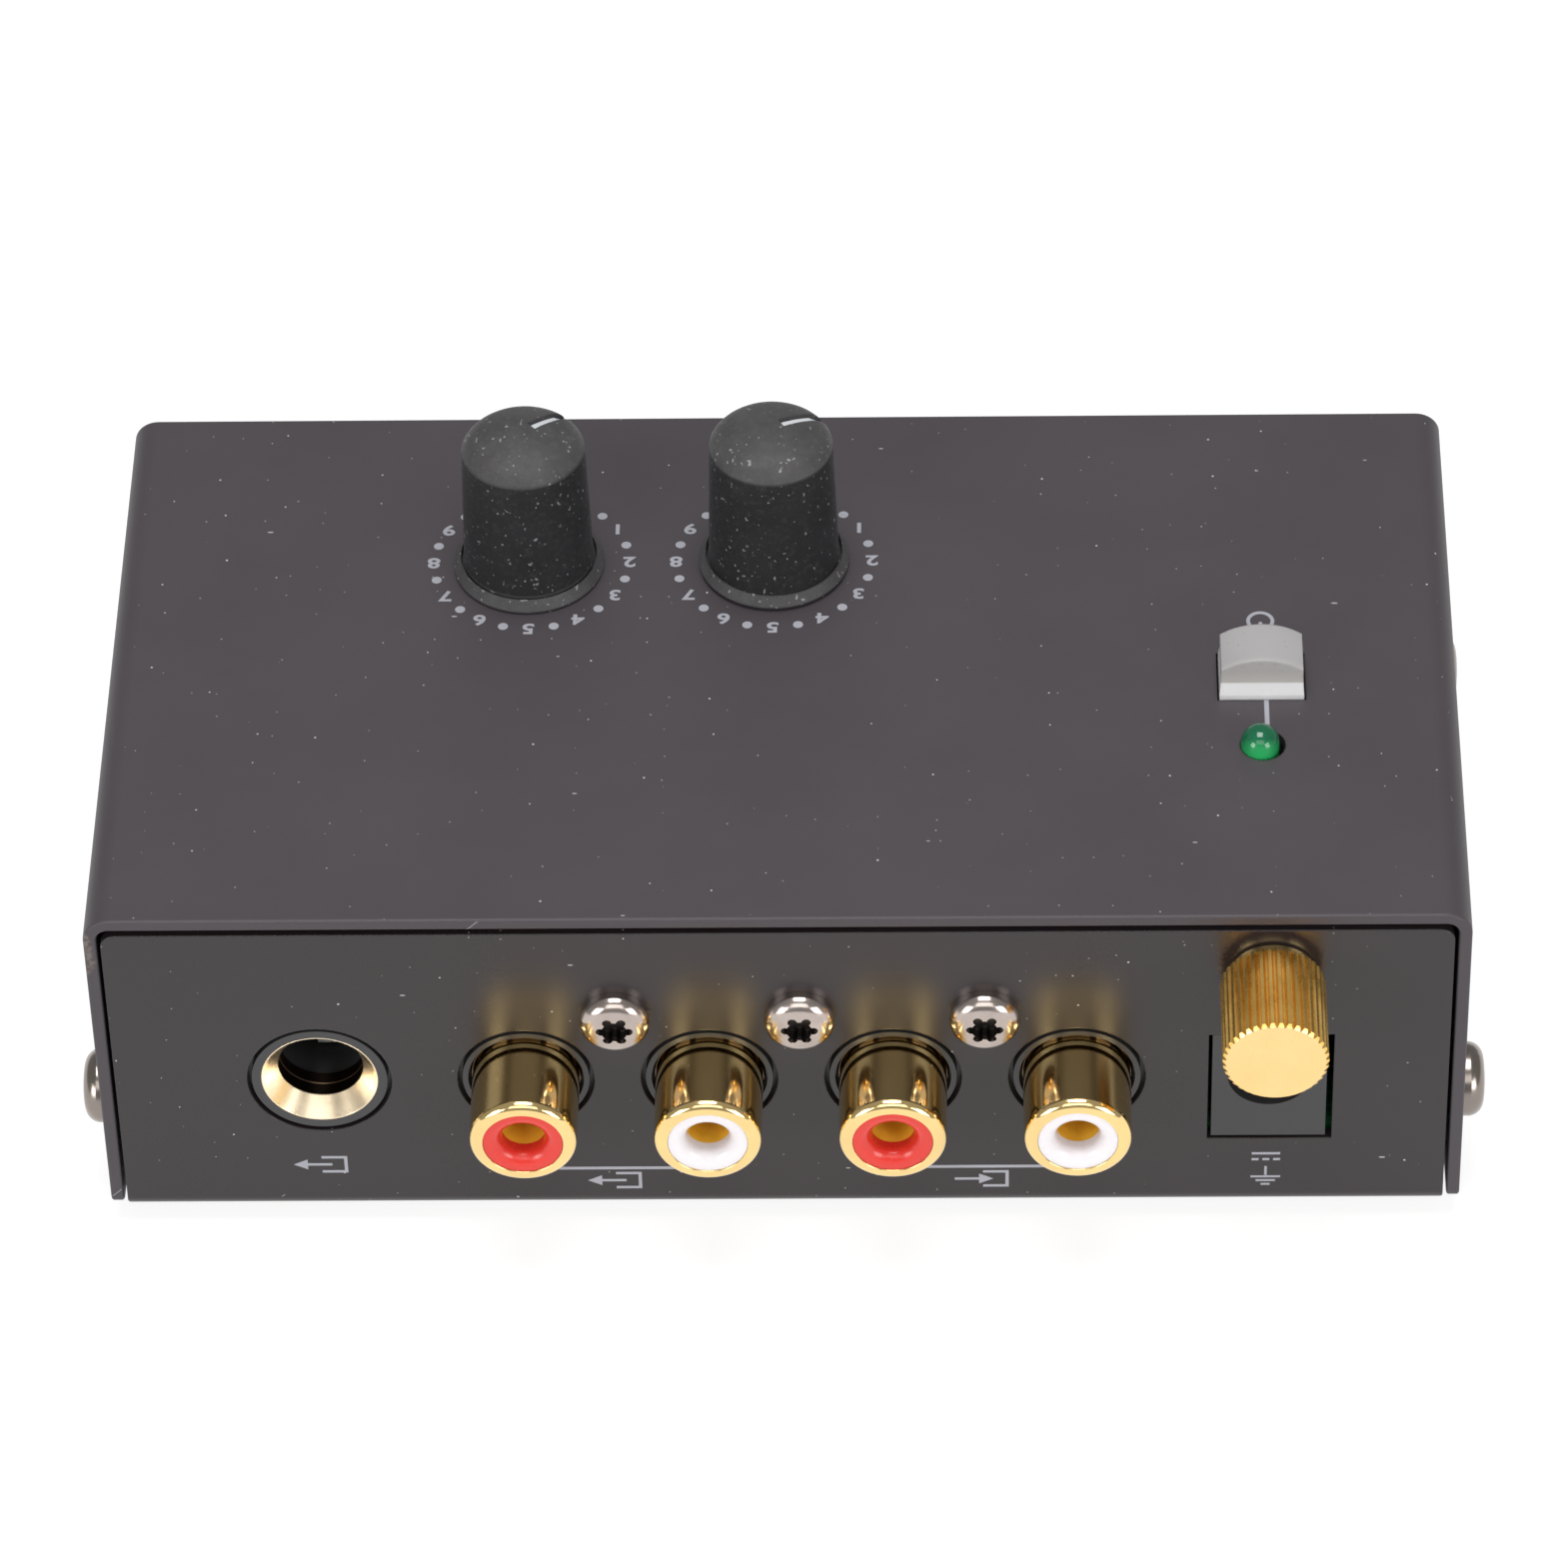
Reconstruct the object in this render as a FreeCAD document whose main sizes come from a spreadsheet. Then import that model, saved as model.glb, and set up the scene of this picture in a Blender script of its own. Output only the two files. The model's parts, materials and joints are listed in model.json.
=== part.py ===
import FreeCAD, Part
import Sketcher
import math
import os

V = FreeCAD.Vector
doc = FreeCAD.newDocument("PhonoPreamp")

# ---------------------------------------------------------------------------
# Driving dimensions, in millimetres.  The frame: +Z up, the user side faces
# -Y, the sockets are on the +Y side, the origin is under the middle of the
# whole outline, on the surface that the rubber feet rest on.
# ---------------------------------------------------------------------------
sheet = doc.addObject("Spreadsheet::Sheet", "Dims")
TABLE = [
    ("CaseWidth", 105.0, "outside width over the cover"),
    ("CaseDepth", 57.5, "outside depth, panel face to panel face"),
    ("CaseHeight", 31.4, "bottom plate to top of cover"),
    ("RearY", 24.1, "outer face of the socket panel"),
    ("FootHeight", 1.5, "rubber foot"),
    ("FootRadius", 4.0, "rubber foot"),
    ("FootX", 41.0, "foot centre from the middle"),
    ("FootInset", 10.0, "foot centre from each panel"),
    ("Sheet", 1.0, "sheet thickness of both shells"),
    ("PanelWidth", 102.4, "width of the folded-up panels"),
    ("PanelTop", 29.9, "top of the folded-up panels above the bottom plate"),
    ("PanelCorner", 1.1, "corner radius of the panels"),
    ("PanelFoot", 1.0, "lower corner radius of the panels"),
    ("CoverBend", 2.0, "outer bend radius of the cover"),
    ("BaseBend", 1.3, "outer bend radius of the chassis"),
    ("SkirtGap", 0.4, "cover side ends this far above the bottom plate"),
    ("FlangeHeight", 13.0, "side flange of the chassis"),
    ("SideScrewIn", 5.5, "side screw from each panel"),
    ("SideScrewUp", 8.2, "side screw above the bottom plate"),
    ("ScrewHole", 1.55, "clearance for the three-millimetre screws"),
    ("CoverHeadRadius", 2.9, "pan head of the cover screws"),
    ("CoverHeadHeight", 1.8, "pan head of the cover screws"),
    ("BoardTop", 7.6, "top of the circuit board above the bottom plate"),
    ("BoardThick", 1.6, "circuit board"),
    ("BoardWidth", 96.0, "circuit board"),
    ("BoardDepth", 53.5, "circuit board"),
    ("BoardScrewX", 45.0, "board screw from the middle"),
    ("BoardScrewNear", 18.4, "board screw row by the socket panel"),
    ("BoardScrewFar", -27.2, "board screw row by the front"),
    ("PhonoPitch", 14.1, "spacing of the phono sockets"),
    ("PhonoMid", -1.6, "middle of the four phono sockets"),
    ("PhonoUp", 14.27, "socket centre height above the bottom plate"),
    ("PhonoHole", 5.28, "panel hole radius"),
    ("PhonoBoss", 4.88, "plastic boss radius in the panel hole"),
    ("PhonoRecess", 4.45, "recess radius in the boss"),
    ("PhonoBarrel", 4.13, "plated barrel radius"),
    ("PhonoReach", 6.95, "barrel beyond the panel"),
    ("PhonoLip", 3.05, "insulator radius"),
    ("PhonoBore", 1.68, "contact sleeve inner radius"),
    ("BlockScrewUp", 21.0, "block screw centre height above the bottom plate"),
    ("BlockHeadRadius", 2.72, "head of the block screws"),
    ("BlockHeadHeight", 1.55, "head of the block screws"),
    ("JackX", 35.44, "headphone-size jack centre"),
    ("JackHole", 5.58, "panel hole radius of the jack"),
    ("JackNose", 5.22, "plastic nose radius"),
    ("JackMouth", 4.5, "plated bush outer radius"),
    ("JackBore", 3.28, "plated bush bore radius"),
    ("JackDeep", 3.7, "bore radius of the moulding behind the bush"),
    ("PowerX", -37.5, "power inlet and earth terminal centre"),
    ("PowerUp", 14.2, "power inlet centre height above the bottom plate"),
    ("PowerHole", 3.2, "power inlet hole radius"),
    ("PowerPin", 1.05, "power inlet pin radius"),
    ("EarthUp", 25.2, "earth terminal centre height above the bottom plate"),
    ("EarthRadius", 4.0, "thumb screw head"),
    ("EarthLength", 8.25, "thumb screw head"),
    ("EarthShank", 1.98, "thumb screw thread"),
    ("KnobOneX", 20.0, "volume knob centre"),
    ("KnobTwoX", 0.68, "level knob centre"),
    ("KnobOneBack", 40.0, "volume knob centre from the socket panel"),
    ("KnobTwoBack", 40.18, "level knob centre from the socket panel"),
    ("KnobOneLift", 0.0, "volume knob, height of its seat on the shaft"),
    ("KnobTwoLift", 0.15, "level knob, height of its seat on the shaft"),
    ("KnobAngleOne", -135.0, "volume pointer direction"),
    ("KnobAngleTwo", -148.0, "level pointer direction"),
    ("KnobSkirt", 5.93, "knob skirt radius"),
    ("KnobFoot", 5.14, "knob body radius at the skirt"),
    ("KnobRim", 4.83, "knob body radius at the crown"),
    ("KnobRimUp", 12.1, "rim above the cover"),
    ("KnobShoulder", 3.75, "radius where the crown turns down"),
    ("KnobShoulderUp", 13.15, "height where the crown turns down"),
    ("KnobCrownUp", 13.95, "crown above the cover"),
    ("ShaftRadius", 3.0, "potentiometer shaft"),
    ("ShaftHole", 3.6, "cover hole for a shaft"),
    ("ButtonX", -37.27, "power button centre"),
    ("ButtonBack", 26.37, "power button centre from the socket panel"),
    ("ButtonWide", 6.56, "power button"),
    ("ButtonDeep", 4.86, "power button"),
    ("LampX", -37.2, "cover hole of the indicator"),
    ("LampShift", 0.21, "indicator off the middle of its hole"),
    ("LampBack", 18.8, "indicator centre from the socket panel"),
    ("LampRadius", 1.5, "indicator"),
    ("LampHole", 1.75, "cover hole of the indicator"),
]
for i, (alias, value, note) in enumerate(TABLE, 1):
    sheet.set("A%d" % i, alias)
    sheet.set("B%d" % i, repr(value))
    sheet.set("C%d" % i, note)
    sheet.setAlias("B%d" % i, alias)
doc.recompute()


# A length with both its number and the formula that drives it.
class Q:
    def __init__(self, v, e=None):
        self.v = float(v)
        self.e = e if e is not None else "%.6f" % float(v)

    def __add__(self, o):
        o = q(o)
        return Q(self.v + o.v, "(%s + %s)" % (self.e, o.e))

    def __radd__(self, o):
        return q(o) + self

    def __sub__(self, o):
        o = q(o)
        return Q(self.v - o.v, "(%s - %s)" % (self.e, o.e))

    def __rsub__(self, o):
        return q(o) - self

    def __mul__(self, o):
        o = q(o)
        return Q(self.v * o.v, "(%s * %s)" % (self.e, o.e))

    def __rmul__(self, o):
        return q(o) * self

    def __truediv__(self, o):
        o = q(o)
        return Q(self.v / o.v, "(%s / %s)" % (self.e, o.e))

    def __neg__(self):
        return Q(-self.v, "(0 - %s)" % self.e)


def q(x):
    return x if isinstance(x, Q) else Q(x)


def D(name):
    return Q(float(sheet.get(name)), "Dims." + name)


def bind(obj, prop, val):
    val = q(val)
    obj.setExpression(prop, val.e)


def place(obj, x=0, y=0, z=0, axis=None, angle=None):
    rot = FreeCAD.Rotation(axis, q(angle).v) if axis else FreeCAD.Rotation()
    obj.Placement = FreeCAD.Placement(V(q(x).v, q(y).v, q(z).v), rot)
    bind(obj, "Placement.Base.x", x)
    bind(obj, "Placement.Base.y", y)
    bind(obj, "Placement.Base.z", z)
    if axis and isinstance(angle, Q):
        obj.setExpression("Placement.Rotation.Angle", angle.e)
    return obj


NODES = []


def node(obj, label):
    obj.Label = label
    NODES.append(obj)
    return obj


# ---------------------------------------------------------------------------
# Bodies, sketches and features
# ---------------------------------------------------------------------------
def body(name):
    return doc.addObject("PartDesign::Body", name)


def sketch(b, plane, off=None, name="Sketch"):
    s = b.newObject("Sketcher::SketchObject", name)
    role = {"XY": "XY_Plane", "XZ": "XZ_Plane", "YZ": "YZ_Plane"}[plane]
    ref = [f for f in b.Origin.OriginFeatures if f.Role == role][0]
    s.AttachmentSupport = [(ref, "")]
    s.MapMode = "FlatFace"
    if off is not None:
        off = q(off)
        s.AttachmentOffset = FreeCAD.Placement(V(0, 0, off.v), FreeCAD.Rotation())
        s.setExpression("AttachmentOffset.Base.z", off.e)
    doc.recompute()
    return s


def pin_point(s, geo, pos, x, y):
    for kind, val in (("DistanceX", q(x)), ("DistanceY", q(y))):
        k = s.addConstraint(Sketcher.Constraint(kind, -1, 1, geo, pos, val.v))
        s.setExpression("Constraints[%d]" % k, val.e)


def poly(s, pts):
    """Closed outline.  A point may carry a third item, the radius of the arc
    that leaves it, positive when the arc bulges to the right of travel."""
    n = len(pts)
    ids, flip = [], []
    for i in range(n):
        a, b = pts[i], pts[(i + 1) % n]
        pa, pb = V(q(a[0]).v, q(a[1]).v, 0), V(q(b[0]).v, q(b[1]).v, 0)
        if len(a) > 2:
            rad = q(a[2])
            d = pb - pa
            mid = (pa + pb) * 0.5
            half = d.Length / 2
            sag = abs(rad.v) - math.sqrt(max(rad.v ** 2 - half ** 2, 0))
            nrm = V(d.y, -d.x, 0)
            nrm.normalize()
            m = mid + nrm * sag * (1 if rad.v > 0 else -1)
            g = s.addGeometry(Part.Arc(pa, m, pb), False)
            k = s.addConstraint(Sketcher.Constraint("Radius", g, abs(rad.v)))
            s.setExpression("Constraints[%d]" % k, rad.e if rad.v > 0 else (-rad).e)
            st = s.getPoint(g, 1)
            flip.append((st - pa).Length > 1e-6)
        else:
            g = s.addGeometry(Part.LineSegment(pa, pb), False)
            flip.append(False)
        ids.append(g)
    for i in range(n):
        j = (i + 1) % n
        e = 1 if flip[i] else 2
        b = 2 if flip[j] else 1
        s.addConstraint(Sketcher.Constraint("Coincident", ids[i], e, ids[j], b))
    for i in range(n):
        pin_point(s, ids[i], 2 if flip[i] else 1, pts[i][0], pts[i][1])
    return s


def rect(s, x0, y0, x1, y1):
    return poly(s, [(x0, y0), (x1, y0), (x1, y1), (x0, y1)])


def circle(s, x, y, r):
    r = q(r)
    g = s.addGeometry(Part.Circle(V(q(x).v, q(y).v, 0), V(0, 0, 1), r.v), False)
    k = s.addConstraint(Sketcher.Constraint("Radius", g, r.v))
    s.setExpression("Constraints[%d]" % k, r.e)
    pin_point(s, g, 3, x, y)
    return s


def pad(b, s, length, mid=False, rev=False):
    f = b.newObject("PartDesign::Pad", "Pad")
    f.Profile = s
    bind(f, "Length", length)
    if mid:
        f.Midplane = True
    f.Reversed = rev
    doc.recompute()
    return f


def pocket(b, s, length, mid=False, rev=False):
    before = b.Shape.Volume
    f = b.newObject("PartDesign::Pocket", "Pocket")
    f.Profile = s
    bind(f, "Length", length)
    if mid:
        f.Midplane = True
    f.Reversed = rev
    doc.recompute()
    if not b.Shape.Volume < before - 1e-4:
        raise RuntimeError("pocket cut nothing in " + b.Name)
    return f


def revolve(b, s, axis):
    f = b.newObject("PartDesign::Revolution", "Revolution")
    f.Profile = s
    f.ReferenceAxis = (s, [axis])
    f.Angle = 360.0
    doc.recompute()
    return f


def polar(b, feature, axis_sketch, axis, count):
    before = b.Shape.Volume
    p = b.newObject("PartDesign::PolarPattern", "PolarPattern")
    p.Originals = [feature]
    p.Axis = (axis_sketch, [axis])
    p.Angle = 360.0
    p.Occurrences = count
    b.Tip = p
    doc.recompute()
    if not b.Shape.Volume < before - 1e-4:
        raise RuntimeError("pattern cut nothing in " + b.Name)
    return p


def fillet(b, radius, test, name="Fillet"):
    base = b.Tip
    names = []
    for i, e in enumerate(base.Shape.Edges, 1):
        if test(e):
            names.append("Edge%d" % i)
    if not names:
        raise RuntimeError("no edges for the fillet of " + b.Name)
    f = b.newObject("PartDesign::Fillet", name)
    f.Base = (base, names)
    bind(f, "Radius", radius)
    doc.recompute()
    return f


def along(e, axis):
    if not isinstance(e.Curve, Part.Line):
        return False
    d = e.Vertexes[-1].Point - e.Vertexes[0].Point
    d.normalize()
    return abs(abs(d.dot(axis)) - 1) < 1e-6


def near(a, b, tol=0.02):
    return abs(a - b) < tol


# ---------------------------------------------------------------------------
# Part primitives and booleans
# ---------------------------------------------------------------------------
def box(x0, y0, z0, x1, y1, z1, name="Box"):
    x0, y0, z0, x1, y1, z1 = map(q, (x0, y0, z0, x1, y1, z1))
    o = doc.addObject("Part::Box", name)
    bind(o, "Length", x1 - x0)
    bind(o, "Width", y1 - y0)
    bind(o, "Height", z1 - z0)
    return place(o, x0, y0, z0)


def cyl(axis, x, y, z, r, length, name="Cylinder"):
    """Cylinder from a base point along +X, +Y or +Z."""
    o = doc.addObject("Part::Cylinder", name)
    bind(o, "Radius", r)
    bind(o, "Height", length)
    if axis == "Z":
        return place(o, x, y, z)
    if axis == "Y":
        return place(o, x, y, z, V(1, 0, 0), -90)
    return place(o, x, y, z, V(0, 1, 0), 90)


def fuse(parts, name="Fuse"):
    o = doc.addObject("Part::MultiFuse", name)
    o.Shapes = parts
    return o


def cut(a, b, name="Cut"):
    if isinstance(b, list):
        b = fuse(b, "Tools") if len(b) > 1 else b[0]
    o = doc.addObject("Part::Cut", name)
    o.Base = a
    o.Tool = b
    return o


def common(a, b, name="Common"):
    o = doc.addObject("Part::Common", name)
    o.Base = a
    o.Tool = b
    return o


def group(label, copies):
    """Identical or matching solids that share one node."""
    o = doc.addObject("Part::Compound", label)
    o.Links = copies
    return node(o, label)


def link(master, x, y, z, axis=None, angle=None):
    o = doc.addObject("App::Link", master.Name + "Copy")
    o.LinkedObject = master
    return place(o, x, y, z, axis, angle)


FH = D("FootHeight")
T = D("Sheet")
YR = D("RearY")
YF = YR - D("CaseDepth")
HC = FH + D("CaseHeight")          # top face of the cover
ZBRD = FH + D("BoardTop")          # top face of the board
ZSOCK = FH + D("PhonoUp")          # centre line of the sockets
W2 = D("PanelWidth") / 2
X = V(1, 0, 0)
Y = V(0, 1, 0)
Z = V(0, 0, 1)

PHONO = [D("PhonoMid") + D("PhonoPitch") * k for k in (1.5, 0.5, -0.5, -1.5)]
BLOCK = [D("PhonoMid") + D("PhonoPitch") * k for k in (1, 0, -1)]
SIDE_Y = [YR - D("SideScrewIn"), YF + D("SideScrewIn")]
SIDE_Z = FH + D("SideScrewUp")

# ---------------------------------------------------------------------------
# base_chassis: one sheet folded up into both panels, with two side flanges
# ---------------------------------------------------------------------------
b = body("base_chassis")
s = sketch(b, "YZ")
PT = FH + D("PanelTop")
poly(s, [(YF, FH), (YR, FH), (YR, PT), (YR - T, PT), (YR - T, FH + T),
         (YF + T, FH + T), (YF + T, PT), (YF, PT)])
pad(b, s, D("PanelWidth"), mid=True)
s = sketch(b, "XY", FH)
for sgn in (1, -1):
    x0, x1 = (W2 - T, W2) if sgn > 0 else (-W2, T - W2)
    rect(s, x0, YF + 2.6, x1, YR - 2.6)
pad(b, s, D("FlangeHeight"))
fillet(b, D("BaseBend"), lambda e: along(e, X) and near(e.CenterOfMass.z, FH.v)
       and (near(e.CenterOfMass.y, YF.v) or near(e.CenterOfMass.y, YR.v)))
fillet(b, 0.3, lambda e: along(e, X) and near(e.CenterOfMass.z, FH.v + T.v)
       and e.Length > 90)
fillet(b, D("PanelCorner"), lambda e: along(e, Y) and near(e.CenterOfMass.z, PT.v)
       and near(abs(e.CenterOfMass.x), W2.v))
fillet(b, 2.0, lambda e: along(e, X)
       and near(e.CenterOfMass.z, FH.v + D("FlangeHeight").v) and e.Length < 3)
for sgn in (1, -1):
    for y0, y1 in ((YR - 2.4, YR + 0.5), (YF - 0.5, YF + 2.4)):
        s = sketch(b, "XZ", -y0)
        cr = D("PanelFoot")
        if sgn > 0:
            poly(s, [(W2 - cr, FH - 0.2), (W2 + 0.2, FH - 0.2), (W2 + 0.2, FH + cr),
                     (W2, FH + cr, -cr), (W2 - cr, FH)])
        else:
            poly(s, [(-W2 - 0.2, FH - 0.2), (cr - W2, FH - 0.2), (cr - W2, FH, -cr),
                     (-W2, FH + cr), (-W2 - 0.2, FH + cr)])
        pocket(b, s, y1 - y0, rev=False)
# openings of the socket panel
s = sketch(b, "XZ")
circle(s, D("JackX"), ZSOCK, D("JackHole"))
for x in PHONO:
    circle(s, x, ZSOCK, D("PhonoHole"))
for x in BLOCK:
    circle(s, x, FH + D("BlockScrewUp"), 1.6)
circle(s, D("PowerX"), FH + D("EarthUp"), 2.93)
rect(s, D("PowerX") - 4.9, FH + 7.35, D("PowerX") + 4.7, FH + 18.75)
pocket(b, s, 30)
if b.Shape.isInside(V(D("JackX").v, YR.v - 0.5, ZSOCK.v), 0.01, False):
    raise RuntimeError("socket openings are on the wrong panel")
# screw holes in the flanges, stud holes in the bottom plate
s = sketch(b, "YZ")
for y in SIDE_Y:
    circle(s, y, SIDE_Z, D("ScrewHole"))
pocket(b, s, 130, mid=True)
s = sketch(b, "XY")
for x in (D("BoardScrewX"), -D("BoardScrewX")):
    for y in (D("BoardScrewNear"), D("BoardScrewFar")):
        circle(s, x, y, 1.62)
pocket(b, s, 4, rev=True)
node(b, "base_chassis")

# ---------------------------------------------------------------------------
# top_cover: inverted channel, top and both sides in one sheet
# ---------------------------------------------------------------------------
b = body("top_cover")
s = sketch(b, "XZ", -YR)
CW = D("CaseWidth") / 2
ZL = FH + D("SkirtGap")
poly(s, [(-CW, ZL), (T - CW, ZL), (T - CW, HC - T), (CW - T, HC - T),
         (CW - T, ZL), (CW, ZL), (CW, HC), (-CW, HC)])
pad(b, s, D("CaseDepth"))
fillet(b, D("CoverBend"), lambda e: along(e, Y) and near(e.CenterOfMass.z, HC.v)
       and near(abs(e.CenterOfMass.x), CW.v))
fillet(b, D("CoverBend") - T, lambda e: along(e, Y)
       and near(e.CenterOfMass.z, (HC - T).v)
       and near(abs(e.CenterOfMass.x), (CW - T).v))
fillet(b, 1.0, lambda e: along(e, X) and near(e.CenterOfMass.z, ZL.v) and e.Length < 2
       and (near(e.CenterOfMass.y, YR.v) or near(e.CenterOfMass.y, YF.v)))
fillet(b, 0.22, lambda e: (near(e.CenterOfMass.y, YR.v) or near(e.CenterOfMass.y, YF.v))
       and not along(e, X) and not along(e, Z))
s = sketch(b, "XY")
KY1 = YR - D("KnobOneBack")
KY2 = YR - D("KnobTwoBack")
circle(s, D("KnobOneX"), KY1, D("ShaftHole"))
circle(s, D("KnobTwoX"), KY2, D("ShaftHole"))
circle(s, D("LampX"), YR - D("LampBack"), D("LampHole"))
BX = D("ButtonX")
BY = YR - D("ButtonBack")
rect(s, BX - 3.42, BY - 2.83, BX + 3.42, BY + 2.55)
pocket(b, s, 40, rev=True)
s = sketch(b, "YZ")
for y in SIDE_Y:
    circle(s, y, SIDE_Z, D("ScrewHole") + 0.1)
pocket(b, s, 130, mid=True)
node(b, "top_cover")


# ---------------------------------------------------------------------------
# Screws: pan head at z >= 0, shank down -Z, turned to face by their placement
# ---------------------------------------------------------------------------
def pan_screw(name, head_r, head_h, shank_r, length, drive):
    b = body(name)
    s = sketch(b, "XZ")
    head_r, head_h = q(head_r), q(head_h)
    poly(s, [(0, -q(length)), (q(shank_r) - 0.35, -q(length)),
             (shank_r, 0.4 - q(length)), (shank_r, 0), (head_r, 0),
             (head_r, head_h * 0.42, Q(1.25)), (head_r - 0.95, head_h, Q(9.0)),
             (0, head_h + 0.14)])
    revolve(b, s, "V_Axis")
    if drive == "lobe":
        s = sketch(b, "XY", head_h + 0.3)
        circle(s, 0, 0, 0.98)
        pocket(b, s, 1.6)
        s = sketch(b, "XY", head_h + 0.3)
        circle(s, 1.05, 0, 0.36)
        p = pocket(b, s, 1.6)
        polar(b, p, s, "N_Axis", 6)
    else:
        s = sketch(b, "XY", head_h + 0.3)
        a, w = 1.35, 0.32
        poly(s, [(-a, -w), (-w, -w), (-w, -a), (w, -a), (w, -w), (a, -w),
                 (a, w), (w, w), (w, a), (-w, a), (-w, w), (-a, w)])
        pocket(b, s, 1.45)
    return b


m = pan_screw("CoverScrew", D("CoverHeadRadius"), D("CoverHeadHeight"), 1.5, 4.0, "cross")
copies = []
for y in SIDE_Y:
    copies.append(link(m, CW, y, SIDE_Z, V(0, 1, 0), 90))
    copies.append(link(m, -CW, y, SIDE_Z, V(0, 1, 0), -90))
group("cover_screws", copies)

m = pan_screw("BoardScrew", 2.4, 1.6, 1.25, 5.6, "cross")
STUDS = [(x, y) for x in (D("BoardScrewX"), -D("BoardScrewX"))
         for y in (D("BoardScrewNear"), D("BoardScrewFar"))]
group("board_screws", [link(m, x, y, ZBRD) for x, y in STUDS])

m = pan_screw("BlockScrew", D("BlockHeadRadius"), D("BlockHeadHeight"), 1.3, 8.0, "lobe")
group("socket_block_screws",
      [link(m, x, YR, FH + D("BlockScrewUp"), V(1, 0, 0), -90) for x in BLOCK])

# board studs pressed into the bottom plate
b = body("BoardStud")
s = sketch(b, "XZ")
poly(s, [(0, 0), (1.6, 0), (1.6, T), (2.7, T), (2.7, D("BoardTop") - D("BoardThick")),
         (1.3, D("BoardTop") - D("BoardThick")), (1.3, 1.4), (0, 1.4)])
revolve(b, s, "V_Axis")
group("board_studs", [link(b, x, y, FH) for x, y in STUDS])

# rubber feet under the bottom plate
b = body("Foot")
s = sketch(b, "XZ")
poly(s, [(0, 0), (D("FootRadius") - 0.7, 0), (D("FootRadius") - 0.25, 0.25),
         (D("FootRadius"), D("FootHeight")), (0, D("FootHeight"))])
revolve(b, s, "V_Axis")
group("rubber_feet", [link(b, x, y, 0) for x in (D("FootX"), -D("FootX"))
                      for y in (YR - D("FootInset"), YF + D("FootInset"))])

# ---------------------------------------------------------------------------
# circuit_board
# ---------------------------------------------------------------------------
BW = D("BoardWidth") / 2
BY1 = YR - T - 0.6
BY0 = BY1 - D("BoardDepth")
plate = box(-BW, BY0, ZBRD - D("BoardThick"), BW, BY1, ZBRD, "BoardBlank")
holes = [cyl("Z", x, y, ZBRD - 3, 1.6, 5) for x, y in STUDS]
node(cut(plate, holes, "circuit_board"), "circuit_board")

# ---------------------------------------------------------------------------
# Phono sockets: one moulded block, four plated barrels with their inserts
# ---------------------------------------------------------------------------
BXL = D("PhonoMid") - 28.0
BXR = D("PhonoMid") + 28.0
blk = box(BXL, YR - T - 12.4, ZBRD, BXR, YR - T - 0.05, FH + 24.2, "BlockBlank")
adds = [cyl("Y", x, YR - T - 0.5, ZSOCK, D("PhonoBoss"), T + 0.42) for x in PHONO]
cuts = [cyl("Y", x, YR - T - 0.05, ZSOCK, D("PhonoRecess"), 3) for x in PHONO]
cuts += [cyl("Y", x, YR - 30, ZSOCK, 3.98, 40) for x in PHONO]
cuts += [cyl("Y", x, YR - 9.2, FH + D("BlockScrewUp"), 1.33, 12) for x in BLOCK]
cuts += [box(x - 1.2, YR - 30, ZBRD - 1, x + 1.2, YR - T - 9.0, ZBRD + 5) for x in BLOCK]
node(cut(fuse([blk] + adds), cuts, "phono_socket_block"), "phono_socket_block")

b = body("PhonoShell")
s = sketch(b, "YZ")
R, L = D("PhonoBarrel"), D("PhonoReach")
LIP = D("PhonoLip") + 0.02
poly(s, [(-13.0, LIP), (L - 0.08, LIP, Q(0.08)), (L, LIP + 0.08), (L, R - 0.7, Q(0.7)),
         (L - 0.7, R), (0.03, R), (0.03, R - 0.3), (-0.5, R - 0.3), (-0.5, R + 0.03, Q(0.14)),
         (-0.64, R + 0.17), (-0.9, R + 0.17), (-1.0, R + 0.07), (-1.0, R - 0.3), (-13.0, R - 0.3)])
revolve(b, s, "H_Axis")
group("phono_barrels", [link(b, x, YR, ZSOCK) for x in PHONO])

b = body("PhonoInsert")
s = sketch(b, "YZ")
poly(s, [(-12.6, 0.8), (-7.0, 0.8), (-7.0, 1.97), (L - 1.69, 1.97), (L - 1.69, 1.66),
         (L - 1.1, 1.66, Q(1.0)), (L - 0.1, 2.66),
         (L - 0.1, LIP - 0.02), (-12.6, LIP - 0.02)])
revolve(b, s, "H_Axis")
group("phono_inserts_red", [link(b, PHONO[k], YR, ZSOCK) for k in (0, 2)])
group("phono_inserts_white", [link(b, PHONO[k], YR, ZSOCK) for k in (1, 3)])

b = body("PhonoContact")
s = sketch(b, "YZ")
poly(s, [(-14.6, 0), (-7.0, 0), (-6.0, D("PhonoBore")), (L - 1.71, D("PhonoBore")),
         (L - 1.71, 1.95), (-6.98, 1.95), (-6.98, 0.78), (-14.6, 0.78)])
revolve(b, s, "H_Axis")
s = sketch(b, "XZ", 1.0)
rect(s, -0.34, 0.4, 0.34, 2.4)
pocket(b, s, 12)
group("phono_contacts", [link(b, x, YR, ZSOCK) for x in PHONO])

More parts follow.
